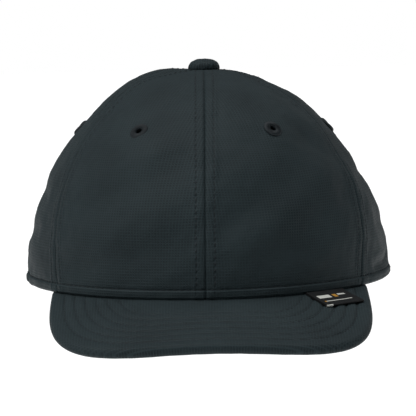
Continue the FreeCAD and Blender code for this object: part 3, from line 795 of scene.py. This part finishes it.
def make_button():
    """The covered button: a low dome with a rolled foot and six faint pleats.

    Radius and height follow a quarter ellipse of power 2.3, over a foot that curls in.
    """
    angles = np.linspace(0, 2 * np.pi, 120, endpoint=False)
    lift = np.linspace(0, 1, 30)[1:]
    bend = lift * np.pi / 2
    power = 2 / 2.3
    dome_radius = BUTTON_R * np.cos(bend) ** power
    dome_height = 0.5 + (BUTTON_HEIGHT - 0.5) * np.sin(bend) ** power
    dome = np.stack([dome_radius, dome_height], -1)
    foot = np.array([(4.0, -0.25), (6.6, -0.3), (7.2, -0.15), (7.45, 0.2)])
    profile = np.concatenate([foot, dome[:-1], [(0.05, BUTTON_HEIGHT)]])
    pleat = 1 + 0.012 * np.cos(6 * angles)[:, None] * np.linspace(1, 0, len(profile))[None]
    r = profile[None, :, 0] * pleat
    z = profile[None, :, 1] + HEIGHT + 0.0 * pleat
    points = np.stack([r * np.cos(angles)[:, None], r * np.sin(angles)[:, None], z], -1)
    around = unit(np.stack([np.cos(angles), np.sin(angles), 0 * angles], -1))[:, None]
    slope = np.gradient(profile, axis=0)
    outward = unit(np.stack([slope[:, 1], -slope[:, 0]], -1))[None]
    outward = around * outward[..., :1] + np.array([0, 0, 1.0]) * outward[..., 1:]
    points = points + outward * (0.06 * waves(points, 3.5, 61))[..., None]
    cover = slab(
        "button_cloth", points, points - BUTTON_CLOTH * outward, NYLON, points[..., :2],
        wrap=True, slot="crown_cloth", replaces=("button_cover",),
    )


def make_seam_tapes():
    """Tape over the inner side of each seam, a little sunk where its two rows hold it."""
    tapes = {
        "seam_tape_front": (0.0, TAPE_FOOT),
        "seam_tape_front_left": (FRONT_SEAM, TAPE_FOOT),
        "seam_tape_front_right": (-FRONT_SEAM, TAPE_FOOT),
        "seam_tape_rear_left": (REAR_SEAM, TAPE_FOOT),
        "seam_tape_rear_right": (-REAR_SEAM, TAPE_FOOT),
        "seam_tape_rear": (180.0, float(rise_at(ARCH_HEIGHT + 4.8))),
    }
    for name, (seam, foot) in tapes.items():
        widths = np.linspace(-TAPE_HALF_WIDTH, TAPE_HALF_WIDTH, 21)
        x, rise = np.meshgrid(widths, np.linspace(foot, TAPE_TOP, 130), indexing="ij")
        middle = seam_turn(seam, rise)
        turn = middle + x / turn_scale(middle, rise)
        form = np.minimum(soft_form(turn, rise), 0.5)
        dip = 0.12 * bell(np.abs(x) - 4.4, 0.5)
        outer = crown(turn, rise, TAPE_OUTER - form)
        inner = crown(turn, rise, TAPE_INNER - form - dip + 0.05 * waves(outer, 6, 71))
        uv = np.stack([x, hem_height(rise)], -1)
        tape = slab(name + "_cloth", outer, inner, TAPE, uv, slot="tape", replaces=(name,))


# --- Visor --------------------------------------------------------------------------------------


def edge_frame(turn):
    """The crown's lower edge at a turn, and its level outward direction."""
    edge = surface(turn, 0.0)
    ahead = surface(turn + 0.05, 0.0) - surface(turn - 0.05, 0.0)
    out = unit(np.stack([ahead[..., 1], -ahead[..., 0], 0 * ahead[..., 0]], -1))
    return edge, out


def visor_place(turn, reach, depth):
    """A place on the visor and its normal: level reach out from the crown's edge, depth below its top."""
    edge, out = edge_frame(turn)
    slope = np.radians(VISOR_SLOPE - VISOR_EASE * np.sin(np.radians(turn)) ** 2)
    normal = out * np.sin(slope)[..., None] + np.array([0, 0, 1.0]) * np.cos(slope)[..., None]
    fall = np.array([0, 0, 1.0]) * (np.asarray(reach) * np.tan(slope))[..., None]
    return edge + out * np.asarray(reach)[..., None] - fall - normal * np.asarray(depth)[..., None], normal


def visor_inset(x, y):
    """How far inside the outline a level place lies, by halving: |x/(W-i)|^n + |(-y-S)/(L-i)|^n = 1."""
    low = np.full(np.shape(x), -8.0)
    high = np.full(np.shape(x), 71.0)
    along = np.maximum(0, -y - VISOR_START)
    power = VISOR_POWER - VISOR_LOSS * smooth(10, 50, -x)
    for _ in range(34):
        middle = (low + high) / 2
        share = (np.abs(x) / (VISOR_HALF_WIDTH - middle)) ** power
        share = share + (along / (VISOR_LENGTH - middle)) ** power
        inside = share < 1
        low = np.where(inside, middle, low)
        high = np.where(inside, high, middle)
    return low


def visor_reach(turn):
    """How far out the outline lies at a turn, by halving."""
    edge, out = edge_frame(turn)
    low = np.zeros(np.shape(turn))
    high = np.full(np.shape(turn), 90.0)
    for _ in range(30):
        middle = (low + high) / 2
        place = edge + out * middle[..., None]
        inside = visor_inset(place[..., 0], place[..., 1]) > 0
        low = np.where(inside, middle, low)
        high = np.where(inside, high, middle)
    return low


def visor_relief(inset, place):
    """How far the covers stand off: puffs between stitched rows, a fuller rolled edge, small puckers."""
    form = 0.0 * inset
    rows = (-1.0,) + VISOR_ROWS
    for near, far in zip(rows, rows[1:]):
        share = np.clip((inset - near) / (far - near), 0, 1)
        full = 0.6 if near < 0 else 0.42  # the rolled edge is fuller
        form = form + full * np.sin(np.pi * share) ** 0.8
    for row in VISOR_ROWS:
        form = form - 0.3 * bell(inset - row, 0.45)
    form = form + 0.07 * waves(place, 6.5, 81) * smooth(36, 30, inset)
    return form + 0.03 * waves(place, 3.0, 83) + 0.22 * waves(place, 48, 85) * smooth(2, 9, inset)


def make_visor():
    """The visor's top and under covers, each a closed sheet that curls round the edge, and their rows."""
    t = np.linspace(0, 1, 411)
    turn = VISOR_END * (2 * t - 1)
    t = np.linspace(0, 1, 108)
    share = 1 - (1 - t) ** 1.35
    turn, share = np.meshgrid(turn, share, indexing="ij")
    far = visor_reach(turn[:, 0])[:, None]
    reach = VISOR_SEWN + (far - VISOR_SEWN) * share
    level, normal = visor_place(turn, reach, 0.0 * reach)
    inset = np.maximum(visor_inset(level[..., 0], level[..., 1]), 0)
    half = VISOR_THICK / 2
    drop = half * (1 - edge_round(inset, VISOR_CURL))
    puff = visor_relief(inset, level) * smooth(0, 1.6, inset) * smooth(0, 3, reach)
    wall = 0.03 + (VISOR_COVER - 0.03) * smooth(0, 2.4, inset)
    uv = level[..., :2]
    for name, side, base in (("visor_top_cover", 1, 0.0), ("visor_under_cover", -1, VISOR_THICK)):
        fullness = 1.0 if side > 0 else VISOR_UNDER_FULLNESS
        skin = base + side * (drop - puff * fullness)
        back = skin + side * wall
        outer = level - normal * skin[..., None]
        inner = level - normal * back[..., None]
        run = slice(None, None, -side)
        grids = [grid[:, run] for grid in (outer, inner)]
        cover = slab(
            name + "_cloth", *grids, NYLON, uv[:, run], slot="visor_cloth", replaces=(name,)
        )
    for name, base, sign in (("visor_topstitch", 0.0, 1), ("visor_understitch", VISOR_THICK, -1)):
        stitched(name, [visor_row(row, base, sign) for row in VISOR_ROWS])


def visor_path(row, depth):
    """The outline's shape a distance inside it, from crown to crown, with its normals and reach."""
    angle = np.linspace(0, np.pi, 900)
    across = np.cos(angle)
    x = (VISOR_HALF_WIDTH - row) * np.sign(across) * np.abs(across) ** (2 / VISOR_POWER)
    power = VISOR_POWER - VISOR_LOSS * smooth(10, 50, -x)
    along = np.maximum(0, 1 - (np.abs(x) / (VISOR_HALF_WIDTH - row)) ** power) ** (1 / power)
    y = -VISOR_START - (VISOR_LENGTH - row) * along
    turn = np.degrees(np.arctan2(x / HALF_WIDTH, -y / FRONT))
    for _ in range(24):
        edge, out = edge_frame(turn)
        step = surface(turn + 0.05, 0.0) - surface(turn - 0.05, 0.0)
        gap = (x - edge[:, 0]) * step[:, 0] + (y - edge[:, 1]) * step[:, 1]
        turn = turn + 0.06 * gap / (step**2).sum(-1)
    edge, out = edge_frame(turn)
    reach = (x - edge[:, 0]) * out[:, 0] + (y - edge[:, 1]) * out[:, 1]
    kept = reach > 0.8
    return visor_place(turn[kept], reach[kept], depth) + (reach[kept],)


def visor_row(row, base, sign):
    """A stitched row, lying on the cover's relief, and its outward directions."""
    level, normal, reach = visor_path(row, 0.0)
    fullness = 1.0 if sign > 0 else VISOR_UNDER_FULLNESS
    puff = visor_relief(np.full(len(level), row), level) * smooth(0, 3, reach) * fullness
    return level - normal * (base - sign * puff)[:, None], normal * sign


def make_allowance():
    """The covers' seam allowance, a soft roll of cloth carried round inside the visor's edge."""
    centre, normal, _ = visor_path(ALLOWANCE_INSET, VISOR_THICK / 2)
    side = unit(np.cross(unit(np.gradient(centre, axis=0)), normal))
    angles = np.linspace(0, 2 * np.pi, 12, endpoint=False)
    profile = np.stack([0.75 * np.cos(angles), 0.8 * np.sin(angles)], -1)
    tube(
        "visor_allowance_roll", centre, side, normal, profile, NYLON,
        slot="visor_cloth", replaces=("visor_edge_allowance",),
    )


# --- Label --------------------------------------------------------------------------------------


def blocks(x, reach, places):
    """Which points lie in any of several blocks, each a place and two half sizes in mm."""
    inside = np.zeros(x.shape, bool)
    for at_x, at_reach, half_x, half_reach in places:
        inside |= (np.abs(x - at_x) < half_x) & (np.abs(reach - at_reach) < half_reach)
    return inside


def make_label():
    """A folded tag: a long closed ribbon that runs out, round its fold and back, across its width.

    Its profile goes out along the upper layer, round the fold and back along the lower one.
    """
    _, out = edge_frame(np.array(LABEL_TURN))
    slope = math.radians(VISOR_SLOPE - VISOR_EASE * math.sin(math.radians(LABEL_TURN)) ** 2)
    along = np.cross([0, 0, 1.0], out)
    down = out * math.cos(slope) - np.array([0, 0, math.sin(slope)])
    normal = out * math.sin(slope) + np.array([0, 0, math.cos(slope)])
    corner, _ = visor_place(np.array(LABEL_TURN), np.array(LABEL_GAP), np.array(-LABEL_LIFT))
    across = np.linspace(LABEL_WIDTH / 2, -LABEL_WIDTH / 2, 121)
    run = np.linspace(0.0, LABEL_REACH - LABEL_THICK / 2, 76)
    bend = np.linspace(np.pi / 2, -np.pi / 2, 17)[1:-1]
    radius = LABEL_THICK / 2
    fold = LABEL_REACH - radius

    def profile(shrink):
        r = radius - shrink
        reach = np.concatenate([run, fold + r * np.cos(bend), run[::-1]])
        high = np.concatenate([0 * run + r, r * np.sin(bend), 0 * run - r])
        return reach, high + radius

    pieces = []
    for shrink in (0.0, LABEL_PLY):
        reach, high = profile(shrink)
        x, r = np.meshgrid(across, reach, indexing="ij")
        h = np.meshgrid(across, high, indexing="ij")[1]
        lift = 0.25 * smooth(5, 15, r) * (1 + 0.5 * np.sin(x / 6))
        h = h + lift + 0.04 * waves(np.stack([x, r, 0 * r], -1), 5, 91)
        pieces.append(corner + along * x[..., None] + down * r[..., None] + normal * h[..., None])
    reach, _ = profile(0.0)
    x, r = np.meshgrid(across, reach, indexing="ij")
    top = (np.arange(len(reach)) < len(run))[None] & np.ones_like(x, bool)
    # A short pale line along one end of the fold, painted in with the pale marks.
    fold_line = (r > LABEL_REACH - 0.6) & (x < -7.5)
    marks = {
        "pale_mark": ((blocks(x, r, PALE_BLOCKS) & top) | fold_line).astype(float),
        "amber_mark": (blocks(x, r, AMBER_BLOCKS) & top).astype(float),
    }
    uv = np.stack([x, np.arange(len(reach))[None] * 0.2 + 0 * x], -1)
    label = slab(
        "side_label_cloth", pieces[0], pieces[1], SATIN, uv, marks=marks,
        ride="label", slot="label_cloth", replaces=("side_label",),
    )


# --- Lining, pads and shell ---------------------------------------------------------------------


def edge_round(distance, radius):
    """0 at an edge and 1 from a radius inside it, along a quarter circle."""
    return np.sqrt(np.maximum(0, 1 - np.clip(1 - distance / radius, 0, 1) ** 2))


def border_distance(turn, rise):
    """The distance in mm from each point of a grid to the grid's border."""
    points = surface(turn, rise)
    across = np.linalg.norm(np.diff(points, axis=0), axis=-1)
    upward = np.linalg.norm(np.diff(points, axis=1), axis=-1)
    from_left = np.concatenate([0 * across[:1], np.cumsum(across, 0)])
    from_foot = np.concatenate([0 * upward[:, :1], np.cumsum(upward, 1)], 1)
    sides = [from_left, from_left[-1:] - from_left, from_foot, from_foot[:, -1:] - from_foot]
    return np.minimum.reduce(sides)


def make_band():
    """The sweatband: knit cloth over foam, softly full between its stitched edges."""
    turns = np.linspace(-BAND_END, BAND_END, 461)
    turn, height = np.meshgrid(turns, np.linspace(BAND_FOOT, BAND_TOP, 56), indexing="ij")
    rise = rise_at(height)
    away = border_distance(turn, rise)
    place = surface(turn, rise)
    full = 0.32 * smooth(2.0, 7.0, away) + 0.09 * waves(place, 11, 101) * smooth(1, 6, away)
    dip = 0.2 * bell(away - BAND_STITCH, 0.45)
    outer = crown(turn, rise, BAND_BACK + 0.0 * away)
    inner = crown(turn, rise, BAND_BACK + 0.1 + 0.34 * edge_round(away, 0.6) + full - dip)
    uv = np.stack([turn * math.pi / 180 * 92, height], -1)
    band = slab("sweatband_face", outer, inner, KNIT, uv, slot="band_cloth", replaces=("sweatband",))
    rows = []
    for level in (BAND_FOOT + BAND_STITCH, BAND_TOP - BAND_STITCH):
        turn_row = np.linspace(-BAND_END + 1.5, BAND_END - 1.5, 1200)
        rise_row = np.full_like(turn_row, float(rise_at(level)))
        row = crown(turn_row, rise_row, BAND_FACE + 0 * turn_row)
        rows.append((row, -crown_normal(turn_row, rise_row)))
    stitched("sweatband_stitch", rows)
    heights = np.linspace(BAND_FOOT + 1.5, BAND_TOP - 1.5, 24)
    turn, height = np.meshgrid(np.linspace(-141, 141, 241), heights, indexing="ij")
    rise = rise_at(height)
    away = border_distance(turn, rise)
    outer = crown(turn, rise, 1.9 - 0.3 * edge_round(away, 1.0))
    inner = crown(turn, rise, 1.95 + 0.55 * edge_round(away, 1.0))
    filling = slab("sweatband_filling", outer, inner, FOAM, slot="foam", replaces=("sweatband_foam",))


def shell_edge(turn):
    """The shell's lower edge, lowest at the front and highest at the rear."""
    share = (1 + np.cos(np.radians(turn))) / 2
    return rise_at(SHELL_REAR_EDGE - (SHELL_REAR_EDGE - SHELL_FRONT_EDGE) * share)


def make_pads():
    """Foam pads with rounded rims, a crowned face, and shallow moulded grooves across them."""
    for name, (left, right, high) in SIDE_PADS.items():
        u, v = np.meshgrid(np.linspace(0, 1, 121), np.linspace(0, 1, 61), indexing="ij")
        turn = left + (right - left) * u
        low = shell_edge(turn) + PAD_FOOT
        rise = low + (high - low) * v
        away = border_distance(turn, rise)
        shape_pad(name, turn, rise, away, (u - 0.5) * (right - left) * 1.2)
    turns = np.linspace(0, 360, 240, endpoint=False)
    u, v = np.meshgrid(turns, np.linspace(0, 1, 41), indexing="ij")
    rise = CROWN_PAD_FOOT + CROWN_PAD_RISE * v
    away = np.minimum(v, 1 - v) * float(hem_height(CROWN_PAD_RISE))
    shape_pad("pad_crown", u, rise, away, (u / 30 - np.round(u / 30)) * 14, wrap=True)


def shape_pad(name, turn, rise, away, across, wrap=False):
    """One pad: its back lies on the shell, and its face stands off it by the pad's thickness."""
    groove = 0.0 * away
    for line in PAD_GROOVES:
        groove = groove + bell(across - line, 1.0)
    groove = np.clip(groove, 0, 1) * smooth(3, 6, away)
    back = PAD_DEPTH + 0.5 * (1 - edge_round(away, 1.2))
    face = PAD_DEPTH + 0.6 + (PAD_THICK - 0.9) * edge_round(away, 3.2)
    face = face + 0.3 * smooth(3, 12, away) - 1.1 * groove
    outer = crown(turn, rise, back)
    inner = crown(turn, rise, face)
    pad = slab(
        name + "_foam", outer, inner, FOAM, wrap=wrap, ride="insert", slot="foam", replaces=(name,)
    )


def make_dots():
    """Round fastening discs: the square [-1, 1] x [-1, 1] mapped to a disc on the crown."""
    for name, low, high, body in DOT_LAYERS:
        for index, (turn, rise) in enumerate(DOT_PLACES):
            a, b = np.meshgrid(np.linspace(-1, 1, 41), np.linspace(-1, 1, 41), indexing="ij")
            x = a * np.sqrt(1 - b * b / 2) * DOT_R
            y = b * np.sqrt(1 - a * a / 2) * DOT_R
            spot_rise = rise + y / (math.pi / 180 * HEIGHT)
            spot_turn = turn + x / turn_scale(np.array(turn), np.array(rise))
            away = DOT_R - np.hypot(x, y)
            thick = (high - low) * (0.35 + 0.65 * edge_round(away, 0.8))
            rough = 0.08 * waves(np.stack([x, y, 0 * x], -1), 1.6, 111 + index)
            outer = crown(spot_turn, spot_rise, low + 0.0 * x)
            inner = crown(spot_turn, spot_rise, low + thick - 0.1 + rough)
            extra = {"replaces": (name,)} if index == 0 else {}
            slab(name + "_pile_" + str(index), outer, inner, PILE, ride=body, slot="hook_loop", **extra)


def make_shell_rim():
    """A rolled bead along the shell's lower edge."""
    turn = np.linspace(0, 360, 361)
    rise = shell_edge(turn)
    centre = crown(turn, rise, SHELL_DEPTH + SHELL_THICK / 2 + 0 * turn)
    out = crown_normal(turn, rise)
    along = unit(np.gradient(centre, axis=0))
    side = unit(np.cross(along, out))
    angles = np.linspace(0, 2 * np.pi, 14, endpoint=False)
    profile = np.stack([1.05 * np.cos(angles), 1.05 * np.sin(angles)], -1)
    tube("bump_shell_rim", centre, side, out, profile, ABS, ride="insert", slot="shell_plastic")


# --- Rear closure -------------------------------------------------------------------------------


# Length of one degree of turn round the crown's rear, in mm
REAR_MIDDLE = math.radians(16)
REAR_DEGREE = math.radians(math.hypot(HALF_WIDTH * math.cos(REAR_MIDDLE), REAR * math.sin(REAR_MIDDLE)))


def strap_place(along, height, depth):
    """A place on the size strap: along the crown's edge from the rear centre, straight up its width."""
    turn = 180 - np.asarray(along) / REAR_DEGREE
    low = crown(turn, float(rise_at(STRAP_LOW)), depth)
    high = crown(turn, float(rise_at(STRAP_HIGH)), depth)
    return low + (high - low) * ((np.asarray(height) - STRAP_LOW) / (STRAP_HIGH - STRAP_LOW))[..., None]


def webbing(name, path, thick, material, low=STRAP_LOW, high=STRAP_HIGH, closed=True, **extra):
    """A flat strap: a path of (along, depth) in the wall's plan, thickened both ways and ribbed across.

    The half thickness closes along quarter circles towards the long edges, and the ends if closed.
    """
    steps = np.linalg.norm(np.diff(path, axis=0), axis=1)
    travel = np.concatenate([[0], np.cumsum(steps)])
    count = max(24, int(travel[-1] / 0.45))
    where = np.linspace(0, travel[-1], count)
    line = np.stack([np.interp(where, travel, path[:, axis]) for axis in range(2)], -1)
    heading = unit(np.gradient(line, axis=0))
    aside = np.stack([heading[:, 1], -heading[:, 0]], -1)
    heights = low + (high - low) * (1 - np.cos(np.linspace(0, np.pi, 49))) / 2
    travelled, height = np.meshgrid(where, heights, indexing="ij")
    edge = np.minimum(height - low, high - height)
    end = np.minimum(travelled, travel[-1] - travelled)
    shape = edge_round(edge, 0.55) * (edge_round(end, 0.5) if closed else 1.0)
    half = thick / 2 * (0.12 + 0.88 * shape)
    half = half + 0.03 * np.cos(2 * np.pi * travelled / 1.4) * shape
    skins = []
    for side in (-1, 1):
        along = line[:, None, 0] + side * aside[:, None, 0] * half
        depth = line[:, None, 1] + side * aside[:, None, 1] * half
        skins.append(strap_place(along, height, depth))
    uv = np.stack([travelled, height], -1)
    return slab(name, skins[0], skins[1], material, uv, **extra)


def straight(start, end, depth):
    """A straight path for a strap at one depth."""
    along = np.linspace(start, end, 60)
    return np.stack([along, np.full(60, depth)], -1)


def make_closure():
    """The size strap: main web, loop pile, free tail with its hook pile, fold, ring keeper and tape."""
    main = straight(-STRAP_SEWN_END, NEAR_BAR, MAIN_DEPTH)
    webbing("strap_main_web", main, WEB_THICK, WEBBING, slot="webbing", replaces=("strap_main",))
    patch = straight(LOOP_END, NEAR_BAR - 2.4, LOOP_DEPTH)
    webbing(
        "strap_loop_pile", patch, PILE_THICK, PILE, STRAP_LOW + 1, STRAP_HIGH - 1, slot="hook_loop",
        replaces=("strap_loop_patch",),
    )
    tail = straight(NEAR_BAR, TAIL_END, TAIL_DEPTH)
    webbing(
        "strap_tail_web", tail, WEB_THICK, WEBBING, ride="strap_tail", slot="webbing",
        replaces=("strap_tail",),
    )
    hook = straight(HOOK_FROM, HOOK_TO, HOOK_DEPTH)
    webbing(
        "strap_hook_pile", hook, PILE_THICK, PILE, STRAP_LOW + 1, STRAP_HIGH - 1, ride="strap_tail",
        slot="hook_loop", replaces=("strap_hook_patch",),
    )
    angle = np.linspace(0, np.pi, 60)
    radius = FOLD_R + 0.5
    bend = np.stack([NEAR_BAR + radius * np.sin(angle), BAR_DEPTH + radius * np.cos(angle)], -1)
    fold = webbing(
        "strap_fold_web", bend, 0.98, WEBBING, closed=False, ride=None, slot="webbing",
        replaces=("strap_fold",),
    )
    middle = np.array((STRAP_LOW + STRAP_HIGH) / 2)
    inner_end = strap_place(np.array(NEAR_BAR), middle, np.array(MAIN_DEPTH)) * MM
    outer_end = strap_place(np.array(NEAR_BAR), middle, np.array(TAIL_DEPTH)) * MM
    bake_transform(fold)
    radius = FOLD_R + 0.4
    out_along = np.linspace(STRAP_SEWN_END, FAR_BAR, 70)
    ease = smooth(FAR_BAR, KEEPER_SETTLED, out_along)
    outer_leg = np.stack([out_along, (BAR_DEPTH - radius) * (1 - ease) + KEEPER_OUTER * ease], -1)
    angle = np.linspace(np.pi, 0, 40)[1:-1]
    turnback = np.stack([FAR_BAR - radius * np.sin(angle), BAR_DEPTH + radius * np.cos(angle)], -1)
    in_along = out_along[::-1]
    ease = ease[::-1]
    inner_leg = np.stack([in_along, (BAR_DEPTH + radius) * (1 - ease) + KEEPER_INNER * ease], -1)
    keeper = np.concatenate([outer_leg, turnback, inner_leg])
    webbing(
        "ring_keeper_web", keeper[::-1], KEEPER_THICK, WEBBING, slot="webbing",
        replaces=("ring_keeper",),
    )
    make_binding()
    rows = []
    for along in TAIL_ROWS:
        height = np.linspace(STRAP_LOW + 1.6, STRAP_HIGH - 1.6, 60)
        path = strap_place(np.full(60, along), height, np.full(60, STITCH_DEPTH))
        rows.append((path, crown_normal(180 - along / REAR_DEGREE, np.linspace(2, 12, 60))))
    for height in (STRAP_LOW + 1.8, STRAP_HIGH - 1.8):
        along = np.linspace(*TAIL_ROWS[::-1], 60)
        path = strap_place(along, np.full(60, height), np.full(60, STITCH_DEPTH))
        rows.append((path, crown_normal(180 - along / REAR_DEGREE, np.full(60, 7.0))))
    stitched("strap_tail_stitch", rows, ride="strap_tail")


def arch_place(angle, shrink, depth):
    """A place by the half-moon opening's edge: an angle round it, and how far inside the cut edge."""
    x = (ARCH_HALF_WIDTH - shrink) * np.cos(angle)
    height = 0.6 + (ARCH_HEIGHT - 0.6 - shrink) * np.sin(angle)
    rise = rise_at(height)
    width = HALF_WIDTH * np.cos(np.radians(rise)) * (1 + SIDE_FULLNESS * np.sin(np.radians(rise)) ** 2)
    turn = 180 - np.degrees(np.arcsin(x / width))
    return crown(turn, rise, depth), turn, rise


def make_binding():
    """Tape folded over the opening's cut edge: an oval profile carried round it, with a stitched row."""
    angle = np.linspace(0, np.pi, 260)
    centre, turn, rise = arch_place(angle, 0.1, 0.42 + 0 * angle)
    inside, _, _ = arch_place(angle, 1.1, 0.42 + 0 * angle)
    out = crown_normal(turn, rise)
    side = unit(inside - centre)
    angles = np.linspace(0, 2 * np.pi, 30, endpoint=False)
    wide = 2.5 * np.sign(np.cos(angles)) * np.abs(np.cos(angles)) ** 0.7
    high = 0.98 * np.sign(np.sin(angles)) * np.abs(np.sin(angles)) ** 0.6
    profile = np.stack([wide, high], -1)
    tube("rear_arch_tape", centre, side, out, profile, TAPE, slot="tape", replaces=("rear_arch_binding",))
    centre, turn, rise = arch_place(angle, -1.2, -0.52 + 0 * angle)
    stitched("rear_arch_stitch", [(centre, crown_normal(turn, rise))])


# --- Assembly -----------------------------------------------------------------------------------


make_camera()
make_crown()
make_button()
make_seam_tapes()
make_visor()
make_allowance()
make_label()
make_band()
make_pads()
make_dots()
make_shell_rim()
make_closure()

# Finishes of the pieces that are shown as the CAD built them
CAD_FINISHES = {
    "bump_shell": ABS,
    "button_cap": METAL,
    "button_rivet": METAL,
    "strap_ring": WIRE,
    "visor_board": BOARD,
}
for node, material in CAD_FINISHES.items():
    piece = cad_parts[node]
    piece.data.materials.clear()
    piece.data.materials.append(material)


def make_stage():
    """A pale floor below the insert's lowest place, a world that lights evenly and four soft suns."""
    angle = np.linspace(0, 2 * np.pi, 96, endpoint=False)
    rim = np.stack([FLOOR_R * np.cos(angle), FLOOR_R * np.sin(angle), np.full(96, FLOOR_HEIGHT)], -1)
    points = np.concatenate([rim, [[0, 0, FLOOR_HEIGHT]]])
    following = (np.arange(96) + 1) % 96
    faces = np.stack([np.arange(96), following, np.full(96, 96)], -1)
    paint, _, _ = new_material(
        "pale_floor_paint", Base_Color=(0.9, 0.9, 0.9, 1.0), Roughness=0.8,
        Emission_Color=(1.0, 1.0, 1.0, 1.0), Emission_Strength=0.22,
    )
    floor = build("floor", points, faces, paint, ride=None)
    world = bpy.data.worlds.new("studio")
    world.use_nodes = True
    tree = world.node_tree
    shown = tree.nodes["Background"]
    shown.inputs["Color"].default_value = (1, 1, 1, 1)
    shown.inputs["Strength"].default_value = 1.0
    lighting = add(tree, "ShaderNodeBackground", {"Color": (0.93, 0.97, 1.0, 1.0), "Strength": 0.09})
    seen = add(tree, "ShaderNodeLightPath").outputs["Is Camera Ray"]
    mix = add(tree, "ShaderNodeMixShader", {0: seen, 1: lighting.outputs[0], 2: shown.outputs[0]})
    tree.links.new(mix.outputs[0], tree.nodes["World Output"].inputs["Surface"])
    bpy.context.scene.world = world
    make_sun("key", (-0.5, -0.2, 0.85), 1.9, 50)
    make_sun("side", (-0.85, -0.5, 0.25), 0.3, 50)
    make_sun("top", (0.15, -0.02, 1.0), 1.4, 50)
    make_sun("rim", (0.65, 0.72, 0.25), 0.12, 60)
    bpy.context.scene.view_settings.view_transform = "Standard"


make_stage()
